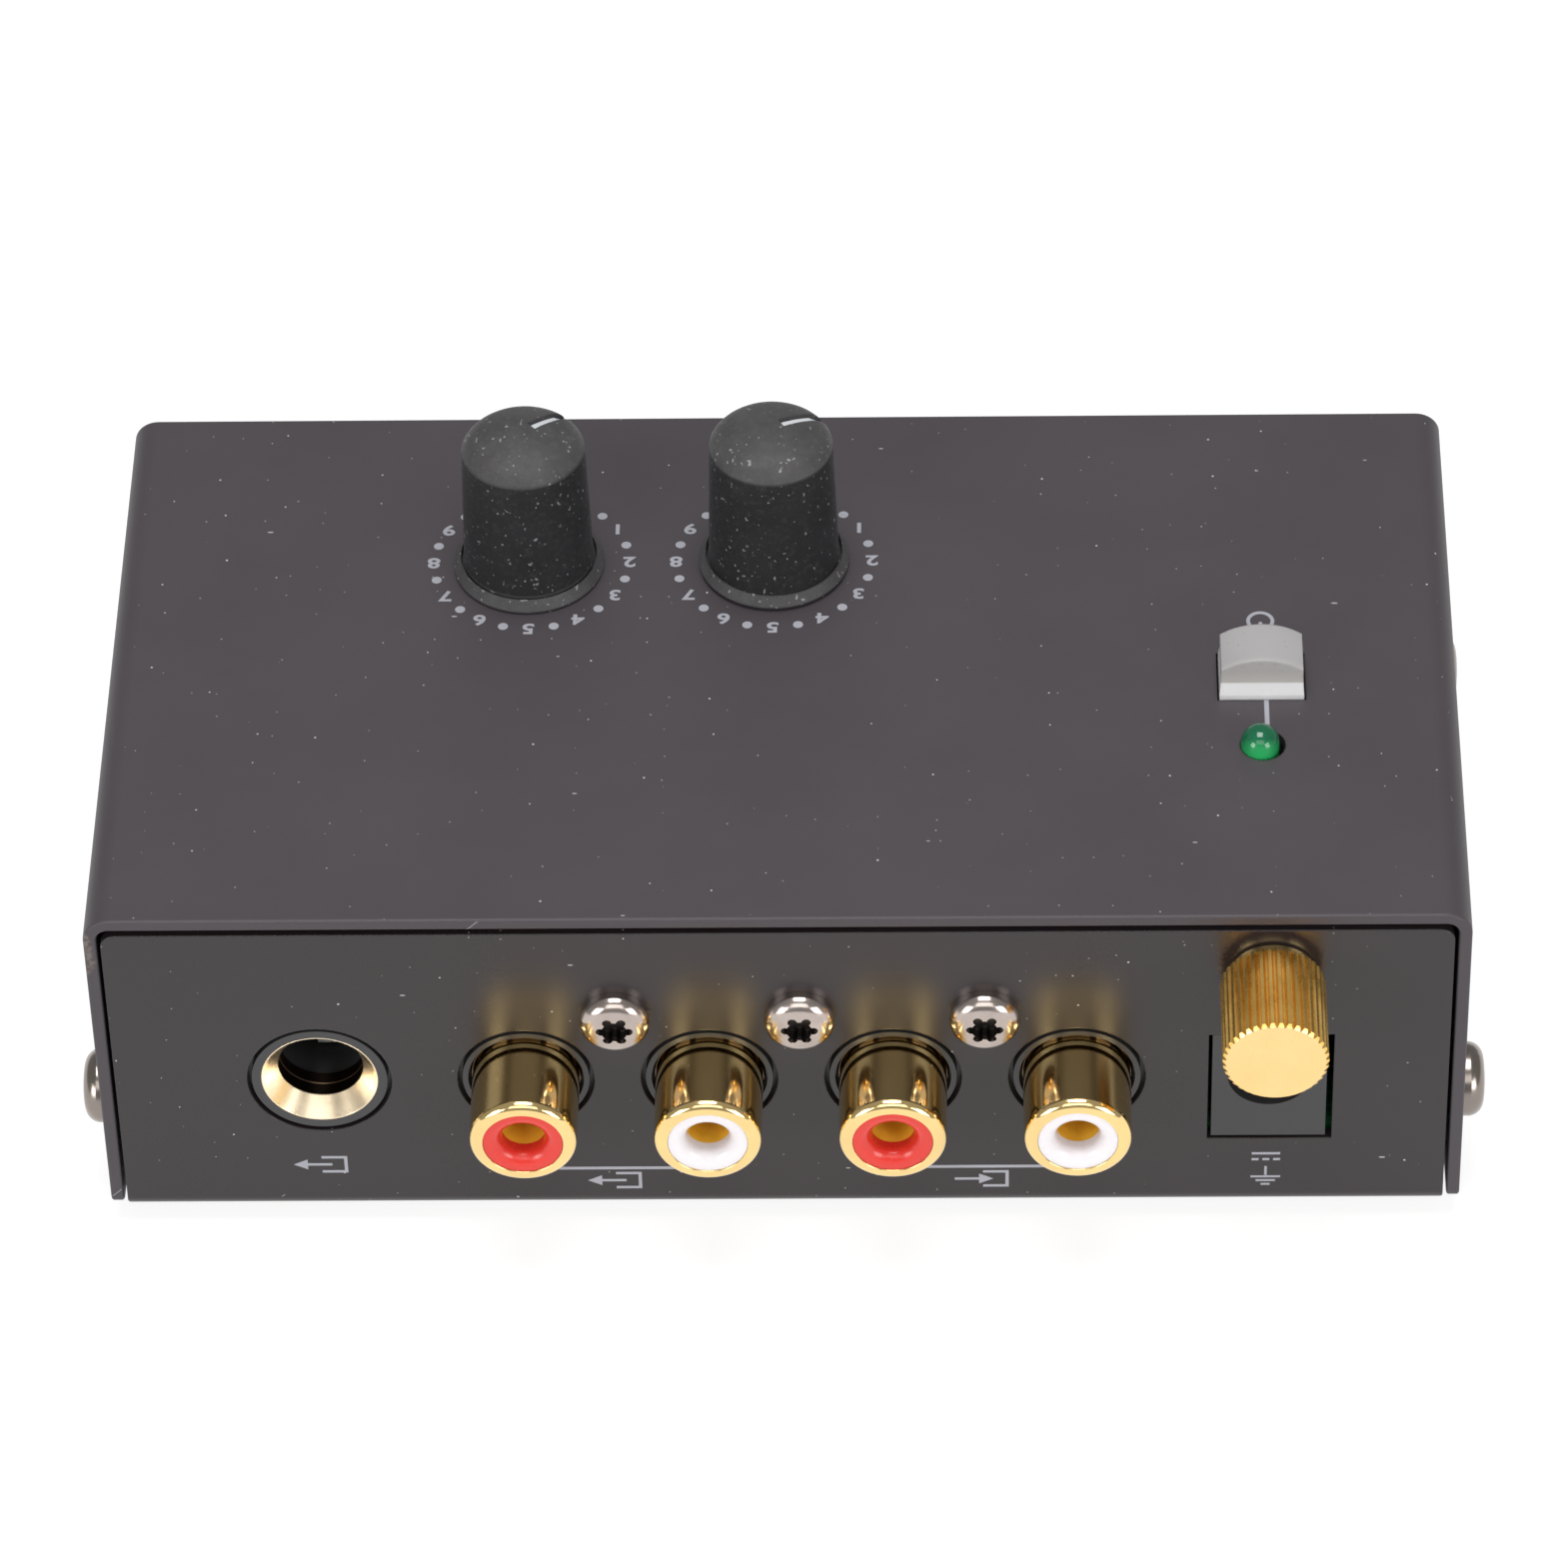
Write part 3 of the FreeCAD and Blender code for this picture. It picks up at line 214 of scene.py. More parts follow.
def paint(name, base, rough, grain, dust=0.35, scuff=False, fold="top", spec=0.42):
    """Baked enamel: fine orange-peel grain, faint cloudiness, stray dust."""
    m = Mat(name)
    cloud = m.noise(60, 4, 0.6)
    fine = m.noise(3500, 2, 0.5)
    dark = tuple(c * 0.95 for c in base)
    lite = tuple(min(1, c * 1.06) for c in base)
    col = m.mix(m.rng(cloud, 0.3, 0.7, 0, 1), dark, lite)
    sp = flat_specks(m, fold, 230, 0.021, 0.34, 3.1)
    sp2 = flat_specks(m, fold, 430, 0.028, 0.22, 11.0)
    sp3 = flat_specks(m, fold, 200, 0.016, 0.10, 23.0, (0.3, 1, 1), 0.7)
    dustmask = m.math("MAXIMUM", m.math("MAXIMUM", sp, m.math("MULTIPLY", sp2, 0.6)),
                      m.math("MULTIPLY", sp3, 0.8))
    col = m.mix(m.math("MULTIPLY", dustmask, dust), col, (0.50, 0.49, 0.48))
    r = m.math("ADD", m.rng(cloud, 0.3, 0.7, rough - 0.03, rough + 0.03),
               m.rng(fine, 0.3, 0.7, -0.02, 0.02))
    metal = None
    if scuff:
        x = m.xyz()
        # bare steel where the rear corner of the bend has been rubbed
        dx = m.math("ABSOLUTE", m.math("SUBTRACT", x[0], 0.0526))
        dy = m.math("ABSOLUTE", m.math("SUBTRACT", x[1], 0.0241))
        dz = m.math("ABSOLUTE", m.math("SUBTRACT", x[2], 0.0296))
        edge = m.math("ADD", m.math("MULTIPLY", m.math("ADD", dx, dy), 1500.0),
                      m.math("MULTIPLY", m.math("POWER", m.math("MULTIPLY", dz, 420.0), 2.0), 1.0))
        n1 = m.noise(1400, 5, 0.7)
        mask = m.rng(m.math("ADD", edge, m.math("MULTIPLY", n1, 2.2)), 2.0, 2.6, 0.8, 0.0)
        rust = m.mix(m.rng(m.noise(2600, 3, 0.6), 0.45, 0.6, 0, 1), (0.17, 0.15, 0.14), (0.085, 0.055, 0.045))
        col = m.mix(mask, col, rust)
        metal = m.math("MULTIPLY", mask, 0.5)
    m.set(Base_Color=col, Roughness=r)
    if metal is not None:
        m.set(Metallic=metal)
    m.set(Specular_IOR_Level=spec)
    h = m.math("ADD", m.math("MULTIPLY", fine, 0.5), m.math("MULTIPLY", m.noise(900, 2), 0.5))
    m.set(Normal=m.bump(h, 0.5, grain, m.bevel(0.00018)))
    return m.m


def metal(name, base, rough, lathe=None, grain=0.000004, tone=0.06, dust=0.0, bevel=None, foot=None):
    """Plated or bare metal: slight tone drift, smears in the gloss, turning marks."""
    m = Mat(name)
    cloud = m.noise(220, 4, 0.6)
    lo = tuple(c * (1 - tone) for c in base)
    hi = tuple(min(1, c * (1 + tone)) for c in base)
    col = m.mix(m.rng(cloud, 0.3, 0.7, 0, 1), lo, hi)
    if dust:
        col = m.mix(m.math("MULTIPLY", m.specks(1100, 0.08, 0.10, 5.0), dust), col, (0.85, 0.84, 0.8))
    # painted shade: behind the given y the colour turns dark brown, standing in for the shadow on the barrel's foot
    # within the panel hole
    if foot is not None:
        col = m.mix(m.rng(m.xyz()[1], foot, foot + 0.00005, 1.0, 0.0), col, (0.13, 0.095, 0.055))
    smear = m.noise(500, 3, 0.6, stretch=(1, 0.3, 1))
    r = m.rng(smear, 0.25, 0.75, rough * 0.75, rough * 1.35)
    m.set(Base_Color=col, Metallic=1.0, Roughness=r)
    h = m.noise(1, 2, 0.5, stretch=lathe) if lathe else m.noise(2500, 3, 0.6)
    nb = m.bevel(bevel) if bevel else None
    m.set(Normal=m.bump(h, 0.6, grain, nb))
    return m.m


def plastic(name, base, rough, grain=0.000006, scale=1800, tone=0.05, sss=0.0, dust=0.0,
            coat=0.0, dustcol=(0.6, 0.6, 0.6), bevel=None, spec=0.5):
    m = Mat(name)
    cloud = m.noise(180, 3, 0.5)
    lo = tuple(c * (1 - tone) for c in base)
    hi = tuple(min(1, c * (1 + tone)) for c in base)
    col = m.mix(m.rng(cloud, 0.3, 0.7, 0, 1), lo, hi)
    if dust:
        d = m.math("MAXIMUM", m.specks(900, 0.10, 0.13, 2.0), m.specks(420, 0.045, 0.28, 9.0))
        col = m.mix(m.math("MULTIPLY", d, dust), col, dustcol)
    fine = m.noise(scale, 3, 0.6)
    m.set(Base_Color=col, Roughness=m.rng(fine, 0.25, 0.75, rough * 0.85, min(1, rough * 1.15)))
    m.set(Specular_IOR_Level=spec)
    if sss:
        m.p.inputs["Subsurface Weight"].default_value = sss
        m.p.inputs["Subsurface Radius"].default_value = (0.0012, 0.0009, 0.0007)
        m.p.inputs["Subsurface Scale"].default_value = 1.0
    if coat:
        m.p.inputs["Coat Weight"].default_value = coat
        m.p.inputs["Coat Roughness"].default_value = 0.12
    nb = m.bevel(bevel) if bevel else None
    m.set(Normal=m.bump(fine, 0.6, grain, nb))
    return m.m


# ---------------------------------------------------------------------------
# Materials
# ---------------------------------------------------------------------------
COVER = paint("cover_paint_mat", (0.0445, 0.0375, 0.0430), 0.50, 0.000012, 0.75, scuff=True)
PANEL = paint("panel_paint_mat", (0.0165, 0.0118, 0.0132), 0.30, 0.000003, 0.80, fold="panel", spec=0.50)
NICKEL = metal("nickel_mat", (0.46, 0.405, 0.375), 0.17, dust=0.3, grain=0.000003, bevel=0.00012)
# painted shade: the side screws get a darker copy of the nickel, standing in for the dark cover they reflect
SIDE_NICKEL = metal("side_screw_mat", (0.27, 0.235, 0.21), 0.22, dust=0.2, grain=0.000003, bevel=0.00012)
ZINC = metal("zinc_mat", (0.42, 0.43, 0.44), 0.34)
# painted shade: foot= colours the barrels' foot behind the panel face dark brown
GOLD = metal("gold_barrel_mat", (0.90, 0.66, 0.29), 0.085, lathe=(120, 9000, 120),
             grain=0.0000012, dust=0.45, foot=(YR - 0.35) * MM)


def knurled_gold():
    """Matt plating: the turned end face is paler than the knurl."""
    m = Mat("gold_knurl_mat")
    x = m.xyz()
    face = m.rng(x[1], (YR + 9.22) * MM, (YR + 9.28) * MM, 0.0, 1.0)
    cloud = m.noise(300, 4, 0.6)
    side = m.mix(m.rng(cloud, 0.3, 0.7, 0, 1), (0.86, 0.50, 0.115), (0.97, 0.64, 0.20))
    end = m.mix(m.rng(cloud, 0.3, 0.7, 0, 1), (0.90, 0.63, 0.27), (0.94, 0.68, 0.31))
    col = m.mix(face, side, end)
    col = m.mix(m.math("MULTIPLY", m.specks(1100, 0.08, 0.10, 5.0), 0.25), col, (0.85, 0.84, 0.8))
    m.set(Base_Color=col, Metallic=1.0, Roughness=m.rng(m.noise(900, 3), 0.3, 0.7, 0.24, 0.32))
    m.set(Normal=m.bump(m.noise(2500, 3, 0.6), 0.6, 0.000005))
    return m.m


GOLDK = knurled_gold()


def jack_bush():
    """Bright plated cone; the bore behind it is painted near black as shade, with a thin painted highlight ring at
    the back edge of the bush, and fine turning ridges.
    """
    m = Mat("gold_bush_mat")
    x = m.xyz()
    # painted shade: more than 1.6 mm behind the panel face the bore is coloured near black; the thin gold ring at
    # 2.85 mm is a painted highlight
    bore_shade = m.rng(x[1], (YR - 1.72) * MM, (YR - 1.62) * MM, 1.0, 0.0)
    cloud = m.noise(260, 3, 0.6)
    bright = m.mix(m.rng(cloud, 0.3, 0.7, 0, 1), (0.93, 0.76, 0.52), (0.97, 0.82, 0.60))
    line = m.rng(m.math("ABSOLUTE", m.math("SUBTRACT", x[1], (YR - 2.85) * MM)), 0.00005, 0.00008, 1.0, 0.0)
    dark = m.mix(line, (0.030, 0.020, 0.014), (0.75, 0.52, 0.34))
    m.set(Base_Color=m.mix(bore_shade, bright, dark), Metallic=1.0)
    m.set(Roughness=m.math("ADD", m.rng(cloud, 0.3, 0.7, 0.24, 0.30), m.math("MULTIPLY", bore_shade, 0.15)))
    h = m.noise(1, 2, 0.5, stretch=(300, 12000, 300))
    m.set(Normal=m.bump(h, 0.5, 0.000003, m.bevel(0.00008)))
    return m.m


def phono_contact():
    """Amber-looking plating inside the insulator's mouth."""
    m = Mat("phono_contact_mat")
    cloud = m.noise(700, 3, 0.6)
    m.set(Base_Color=m.mix(m.rng(cloud, 0.3, 0.7, 0, 1), (0.80, 0.44, 0.030), (0.92, 0.56, 0.06)),
          Metallic=0.25, Roughness=m.rng(cloud, 0.3, 0.7, 0.30, 0.42))
    m.set(Normal=m.bump(m.noise(1, 2, 0.5, stretch=(400, 9000, 400)), 0.4, 0.000003))
    return m.m


def lobe_screw():
    """Dark nickel; the six-lobe recess is painted near black as shade."""
    m = Mat("lobe_screw_mat")
    x = m.xyz()
    cloud = m.noise(420, 4, 0.6)
    head = m.mix(m.rng(cloud, 0.3, 0.7, 0, 1), (0.42, 0.355, 0.32), (0.53, 0.46, 0.42))
    px = m.math("WRAP", m.math("SUBTRACT", x[0], 0.0125), 0.00705, -0.00705)
    pz = m.math("SUBTRACT", x[2], 0.0225)
    rad = m.math("SQRT", m.math("ADD", m.math("MULTIPLY", px, px), m.math("MULTIPLY", pz, pz)))
    # painted shade: the recess is coloured near black and made rougher
    recess_shade = m.math("MULTIPLY", m.rng(x[1], (YR + 1.10) * MM, (YR + 1.42) * MM, 1.0, 0.0),
                    m.math("LESS_THAN", rad, 0.00148))
    col = m.mix(recess_shade, head, (0.085, 0.078, 0.075))
    sp = m.specks(1100, 0.08, 0.25, 5.0)
    col = m.mix(m.math("MULTIPLY", sp, 0.3), col, (0.8, 0.78, 0.74))
    m.set(Base_Color=col, Metallic=1.0)
    m.set(Roughness=m.math("ADD", m.rng(m.noise(700, 3), 0.3, 0.7, 0.14, 0.22),
                           m.math("MULTIPLY", recess_shade, 0.2)))
    m.set(Normal=m.bump(m.noise(900, 4, 0.6), 0.6, 0.00001, m.bevel(0.0001)))
    return m.m


BRASS = metal("brass_mat", (0.74, 0.55, 0.27), 0.3)
TIN = metal("tin_mat", (0.72, 0.71, 0.69), 0.2)
STRIP = plastic("contact_strip_mat", (0.66, 0.65, 0.63), 0.22, spec=0.9)
STEELW = metal("spring_steel_mat", (0.5, 0.5, 0.5), 0.25)
BLACK = plastic("moulded_black_mat", (0.028, 0.027, 0.028), 0.34, grain=0.000005)
RED = plastic("insert_red_mat", (0.60, 0.030, 0.019), 0.25, sss=0.25, tone=0.03)
WHITE = plastic("insert_white_mat", (0.70, 0.665, 0.68), 0.25, sss=0.2, tone=0.02)


def button_plastic():
    """Pale grey moulding; its foot flare and the lower part of its near face are painted paler, as painted light."""
    m = Mat("button_grey_mat")
    x = m.xyz()
    cloud = m.noise(180, 3, 0.5)
    body = m.mix(m.rng(cloud, 0.3, 0.7, 0, 1), (0.298, 0.290, 0.294), (0.316, 0.306, 0.308))
    # painted light: the foot flare is coloured near white and the near face paler towards the bottom, standing in for
    # light from the camera side
    foot = m.rng(x[2], (TOP + 1.34) * MM, (TOP + 1.46) * MM, 1.0, 0.0)
    lit_front = m.math("MULTIPLY", m.rng(x[1], (YR - 24.9) * MM, (YR - 24.2) * MM, 0.0, 1.0),
                   m.rng(x[2], (TOP + 1.4) * MM, (TOP + 2.6) * MM, 1.0, 0.35))
    col = m.mix(lit_front, body, (0.455, 0.432, 0.405))
    col = m.mix(foot, col, (0.60, 0.595, 0.60))
    fine = m.noise(1800, 3, 0.6)
    m.set(Base_Color=col, Roughness=m.rng(fine, 0.25, 0.75, 0.26, 0.34), Specular_IOR_Level=0.55)
    m.p.inputs["Subsurface Weight"].default_value = 0.06
    m.p.inputs["Subsurface Radius"].default_value = (0.0012, 0.0009, 0.0007)
    m.p.inputs["Subsurface Scale"].default_value = 1.0
    m.set(Normal=m.bump(fine, 0.6, 0.000003, m.bevel(0.00025)))
    return m.m


BUTTON = button_plastic()
PLUNGE = plastic("plunger_mat", (0.72, 0.71, 0.68), 0.5)
POINT = plastic("pointer_mat", (0.60, 0.62, 0.64), 0.3, grain=0.000003)
FOOT = plastic("foot_rubber_mat", (0.03, 0.03, 0.03), 0.75, grain=0.00002, scale=2500)
CHIP = plastic("chip_black_mat", (0.035, 0.035, 0.037), 0.55, grain=0.000012, scale=4000)
CANS = plastic("can_sleeve_mat", (0.02, 0.035, 0.11), 0.28, coat=0.3)
FILM = plastic("film_mat", (0.45, 0.07, 0.03), 0.3)
PRINT = plastic("print_mat", (0.285, 0.285, 0.32), 0.5, grain=0.000004, scale=5000)


def knob_rubber():
    """Soft-touch rubber: near black on the sides; the crown and the skirt are painted paler as painted light, with a
    noisy edge on the crown.
    """
    m = Mat("knob_rubber_mat")
    x = m.xyz()
    cloud = m.noise(260, 4, 0.6)
    side = m.mix(m.rng(cloud, 0.3, 0.7, 0, 1), (0.0135, 0.013, 0.0138), (0.019, 0.0185, 0.0198))
    crown = m.mix(m.rng(m.noise(420, 4, 0.7), 0.3, 0.7, 0, 1), (0.040, 0.0385, 0.040), (0.056, 0.0535, 0.055))
    # painted light: above 12 mm the crown takes the paler colour, and so does the skirt under 1.3 mm, standing in for
    # the light these parts catch
    up = m.rng(x[2], (TOP + 12.0) * MM, (TOP + 12.35) * MM, 0.0, 1.0)
    lit_crown = m.math("ADD", up, m.rng(m.noise(900, 4, 0.7), 0.35, 0.75, -0.12, 0.12))
    lit_skirt = m.rng(x[2], (TOP + 1.14) * MM, (TOP + 1.30) * MM, 1.0, 0.0)
    col = m.mix(m.math("MAXIMUM", lit_crown, lit_skirt), side, crown)
    d1 = m.rng(m.noise(2900, 1.0, 0.4), 0.715, 0.745, 0.0, 1.0)
    d2 = m.rng(m.noise(1500, 1.0, 0.4, offset=(3, 5, 1)), 0.755, 0.78, 0.0, 1.0)
    fibre = m.rng(m.noise(1, 1.0, 0.4, stretch=(2600, 700, 900)), 0.765, 0.785, 0.0, 1.0)
    dust = m.math("MAXIMUM", m.math("MAXIMUM", d1, d2), fibre)
    film = m.rng(m.noise(1800, 5, 0.75), 0.52, 0.80, 0.0, 0.16)
    col = m.mix(film, col, (0.16, 0.16, 0.165))
    col = m.mix(m.math("MULTIPLY", dust, 0.55), col, (0.30, 0.31, 0.32))
    fine = m.noise(5200, 2, 0.6)
    m.set(Base_Color=col, Roughness=m.rng(fine, 0.3, 0.7, 0.50, 0.64))
    m.set(Specular_IOR_Level=0.28)
    m.p.inputs["Sheen Weight"].default_value = 0.04
    m.p.inputs["Sheen Roughness"].default_value = 0.4
    m.p.inputs["Sheen Tint"].default_value = (0.7, 0.7, 0.72, 1)
    h = m.math("ADD", fine, m.math("MULTIPLY", m.noise(1300, 3), 0.8))
    m.set(Normal=m.bump(h, 0.7, 0.000018, m.bevel(0.00012)))
    return m.m


KNOB = knob_rubber()


def resin():
    m = Mat("lamp_resin_mat")
    cloud = m.noise(600, 3, 0.5)
    x = m.xyz()
    # painted light: the dome's lower edge on the near side is painted bright green for the light refracted through
    # the resin, and the upper back is painted dark green as shade
    near = m.math("SUBTRACT", m.math("SUBTRACT", x[1], (YR - 18.8) * MM), m.math("SUBTRACT", x[2], (TOP + 0.75) * MM))
    glow = m.rng(near, 0.0002, 0.0021, 0.0, 1.0)
    deepc = m.mix(m.rng(cloud, 0.3, 0.7, 0, 1), (0.006, 0.150, 0.065), (0.010, 0.190, 0.080))
    col = m.mix(glow, deepc, (0.045, 0.70, 0.20))
    m.set(Base_Color=col, Roughness=m.rng(m.noise(2500, 2), 0.3, 0.7, 0.03, 0.07))
    m.p.inputs["Transmission Weight"].default_value = 0.45
    m.p.inputs["IOR"].default_value = 1.5
    m.set(Normal=m.bump(m.noise(1500, 2), 0.4, 0.000002))
    return m.m


LAMP = resin()


def board_mat():
    m = Mat("board_mat")
    tr = m.n("ShaderNodeTexBrick")
    tr.inputs["Scale"].default_value = 180
    m.link(m.co, tr.inputs["Vector"])
    tracks = m.rng(tr.outputs["Fac"], 0.4, 0.6, 0, 1)
    col = m.mix(tracks, (0.02, 0.13, 0.05), (0.035, 0.20, 0.08))
    m.set(Base_Color=col, Roughness=m.rng(m.noise(900, 2), 0.3, 0.7, 0.3, 0.42))
    m.set(Normal=m.bump(tracks, 0.5, 0.00003))
    return m.m


def resistor_mat():
    m = Mat("resistor_mat")
    x = m.xyz()
    w = m.n("ShaderNodeTexWave", wave_type="BANDS", bands_direction="Y")
    w.inputs["Scale"].default_value = 260
    m.link(m.co, w.inputs["Vector"])
    col = m.mix(m.rng(w.outputs["Fac"], 0.75, 0.85, 0, 1), (0.30, 0.50, 0.62), (0.25, 0.12, 0.04))
    m.set(Base_Color=col, Roughness=m.rng(m.noise(900, 2), 0.3, 0.7, 0.25, 0.4))
    m.set(Normal=m.bump(m.noise(2500, 2), 0.4, 0.000004))
    return m.m


def pot_mat():
    m = Mat("pot_metal_mat")
    n1 = m.noise(1, 3, 0.6, stretch=(2500, 2500, 160))
    m.set(Base_Color=m.mix(n1, (0.50, 0.50, 0.50), (0.66, 0.66, 0.65)), Metallic=1.0,
          Roughness=m.rng(n1, 0.3, 0.7, 0.28, 0.42))
    m.set(Normal=m.bump(n1, 0.5, 0.000004))
    return m.m


SLOTMAT = {
    "cover_paint": COVER, "panel_paint": PANEL, "steel_screw": NICKEL, "dark_steel": ZINC,
    "gold_plate": GOLD, "brass": BRASS, "tin": TIN, "foot_rubber": FOOT, "board": board_mat(),
    "moulded_black": BLACK, "insert_red": RED, "insert_white": WHITE, "knob_rubber": KNOB,
    "pointer": POINT, "pot_metal": pot_mat(), "button_grey": BUTTON, "plunger_white": PLUNGE,
    "spring_steel": STEELW, "lamp_green": LAMP, "chip_black": CHIP, "can_sleeve": CANS,
    "film_box": FILM, "resistor_body": resistor_mat(),
}
SPECIAL = {"output_jack_bush": jack_bush(), "earth_thumb_screw": GOLDK,
           "phono_contacts": phono_contact(), "socket_block_screws": lobe_screw(),
           "cover_screws": SIDE_NICKEL}
slot_of = {s["node"]: s["material_slot"] for s in frame["record"]["subparts"]}
for name, o in nodes.items():
    mat = SPECIAL.get(name, SLOTMAT[slot_of[name]])
    o.data.materials.clear()
    o.data.materials.append(mat)


# ---------------------------------------------------------------------------
# Pieces
# ---------------------------------------------------------------------------
def piece(name, me, mat, body="case"):
    ob = bpy.data.objects.new(name, me)
    scene.collection.objects.link(ob)
    me.materials.clear()
    me.materials.append(mat)
    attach(ob, body)
    return ob


def prism(bm, pts, z0, z1, to):
    """Extrude a closed outline, counter-clockwise, from z0 to z1; to() maps
    the outline's plane into the row frame (millimetres)."""
    lo = [bm.verts.new([c * MM for c in to(x, y, z0)]) for x, y in pts]
    hi = [bm.verts.new([c * MM for c in to(x, y, z1)]) for x, y in pts]
    n = len(pts)
    bm.faces.new(hi)
    bm.faces.new(list(reversed(lo)))
    for i in range(n):
        j = (i + 1) % n
        bm.faces.new((lo[i], lo[j], hi[j], hi[i]))


def finish_mesh(bm, name):
    bmesh.ops.recalc_face_normals(bm, faces=bm.faces)
    me = bpy.data.meshes.new(name)
    bm.to_mesh(me)
    bm.free()
    return me


def disc(cx, cy, r, n=32):
    return [(cx + r * math.cos(2 * math.pi * i / n), cy + r * math.sin(2 * math.pi * i / n))
            for i in range(n)]


def bar(x0, y0, x1, y1, w):
    """Round-ended stroke between two points."""
    a = math.atan2(y1 - y0, x1 - x0)
    pts = []
    for k in range(9):
        t = a - math.pi / 2 + math.pi * k / 8
        pts.append((x1 + w / 2 * math.cos(t), y1 + w / 2 * math.sin(t)))
    for k in range(9):
        t = a + math.pi / 2 + math.pi * k / 8
        pts.append((x0 + w / 2 * math.cos(t), y0 + w / 2 * math.sin(t)))
    return pts


def ring_arc(cx, cy, r, w, a0, a1, n=28):
    out = [(cx + (r + w / 2) * math.cos(math.radians(a0 + (a1 - a0) * i / n)),
            cy + (r + w / 2) * math.sin(math.radians(a0 + (a1 - a0) * i / n))) for i in range(n + 1)]
    inn = [(cx + (r - w / 2) * math.cos(math.radians(a1 - (a1 - a0) * i / n)),
            cy + (r - w / 2) * math.sin(math.radians(a1 - (a1 - a0) * i / n))) for i in range(n + 1)]
    return out + inn


INK = 0.018        # film thickness of the print, millimetres


def on_top(x, y, h):
    return (x, y, TOP + h)


def on_rear(x, y, h):
    """x to the row's +X, y up, h out of the panel."""
    return (x, YR + h, y)


def text_mesh(txt, size, wide=1.0, bold=0.0):
    cu = bpy.data.curves.new("glyph", "FONT")
    cu.body = txt
    cu.size = size * MM
    cu.align_x = "CENTER"
    cu.align_y = "CENTER"
    cu.offset = bold * MM
    cu.extrude = INK / 2 * MM
    cu.resolution_u = 8
    ob = bpy.data.objects.new("glyph", cu)
    scene.collection.objects.link(ob)
    bpy.context.view_layer.update()
    me = bpy.data.meshes.new_from_object(ob)
    bpy.data.objects.remove(ob)
    me.transform(Matrix.Diagonal((wide, 1, 1, 1)))
    xs = [v.co.x for v in me.vertices]
    ys = [v.co.y for v in me.vertices]
    me.transform(Matrix.Translation((-(min(xs) + max(xs)) / 2, -(min(ys) + max(ys)) / 2, INK / 2 * MM)))
    return me


# dial rings: ten dots and the numbers 1 to 9 around each knob
for nm, kx in (("volume", 19.83), ("level", 0.70)):
    ky = YR - 40.18
    bm = bmesh.new()
    for k in range(10):
        a = math.radians(225 - 30 * k)
        prism(bm, disc(kx + 7.68 * math.cos(a), ky + 7.68 * math.sin(a), 0.395), 0.0, INK, on_top)
    piece(nm + "_dial_dots", finish_mesh(bm, nm + "_dots"), PRINT)
    bm = bmesh.new()
    for k in range(9):
        a = math.radians(210 - 30 * k)
        me = text_mesh(str(k + 1), 1.60, 1.26, 0.048)
        me.transform(Matrix.Translation(((kx + 7.72 * math.cos(a)) * MM,
                                         (ky + 7.72 * math.sin(a)) * MM, TOP * MM)))
        bm.from_mesh(me)
    piece(nm + "_dial_numbers", finish_mesh(bm, nm + "_numbers"), PRINT)

# line from the button to the lamp
bm = bmesh.new()
prism(bm, [(-37.79, YR - 23.8), (-37.43, YR - 23.8), (-37.43, YR - 20.3), (-37.79, YR - 20.3)][::-1],
      0, INK, on_top)
piece("lamp_line", finish_mesh(bm, "lamp_line"), PRINT)

# power symbol behind the button
bm = bmesh.new()
px, py = -37.4, -8.75
prism(bm, ring_arc(px, py, 0.95, 0.3, 125, 415), 0, INK, on_top)
prism(bm, bar(px, py + 0.25, px, py + 1.2, 0.3), 0, INK, on_top)
piece("power_symbol", finish_mesh(bm, "power_symbol"), PRINT)

# thin lines that join each pair of phono sockets, arrows, supply and earth signs
bm = bmesh.new()
for x0, x1 in ((17.4, 7.6), (-10.8, -20.6)):
    prism(bm, [(x1, 5.72), (x0, 5.72), (x0, 6.02), (x1, 6.02)], 0, INK, on_rear)


def arrow(bm, cx, cy, out):
    """Signal mark: an open box with an arrow that leaves or enters it."""
    w, t = 1.9, 0.26
    prism(bm, [(cx - w, cy - 0.92), (cx + 0.1, cy - 0.92), (cx + 0.1, cy - 0.92 + t),
               (cx - w + t, cy - 0.92 + t), (cx - w + t, cy + 0.92 - t), (cx + 0.1, cy + 0.92 - t),
               (cx + 0.1, cy + 0.92), (cx - w, cy + 0.92)], 0, INK, on_rear)
    sx = 1 if out else -1
    x0 = cx - 0.7 if out else cx + 2.3
    pts = [(x0, cy - 0.13), (x0 + sx * 1.9, cy - 0.13), (x0 + sx * 1.9, cy - 0.55),
           (x0 + sx * 3.0, cy), (x0 + sx * 1.9, cy + 0.55), (x0 + sx * 1.9, cy + 0.13), (x0, cy + 0.13)]
    prism(bm, pts if out else pts[::-1], 0, INK, on_rear)


arrow(bm, 35.7, 6.42, True)
arrow(bm, 12.9, 4.5, True)
arrow(bm, -15.6, 4.5, False)
# direct-current sign
prism(bm, [(-38.5, 7.05), (-36.3, 7.05), (-36.3, 7.3), (-38.5, 7.3)], 0, INK, on_rear)
for k in range(3):
    x = -38.5 + 0.83 * k
    prism(bm, [(x, 6.4), (x + 0.54, 6.4), (x + 0.54, 6.65), (x, 6.65)], 0, INK, on_rear)
# earth sign
prism(bm, [(-37.5, 4.75), (-37.3, 4.75), (-37.3, 5.75), (-37.5, 5.75)], 0, INK, on_rear)
for k, w in enumerate((1.15, 0.75, 0.35)):
    y = 4.6 - 0.42 * k
    prism(bm, [(-37.4 - w, y - 0.12), (-37.4 + w, y - 0.12), (-37.4 + w, y + 0.1), (-37.4 - w, y + 0.1)],
          0, INK, on_rear)
piece("socket_panel_print", finish_mesh(bm, "socket_panel_print"), PRINT)


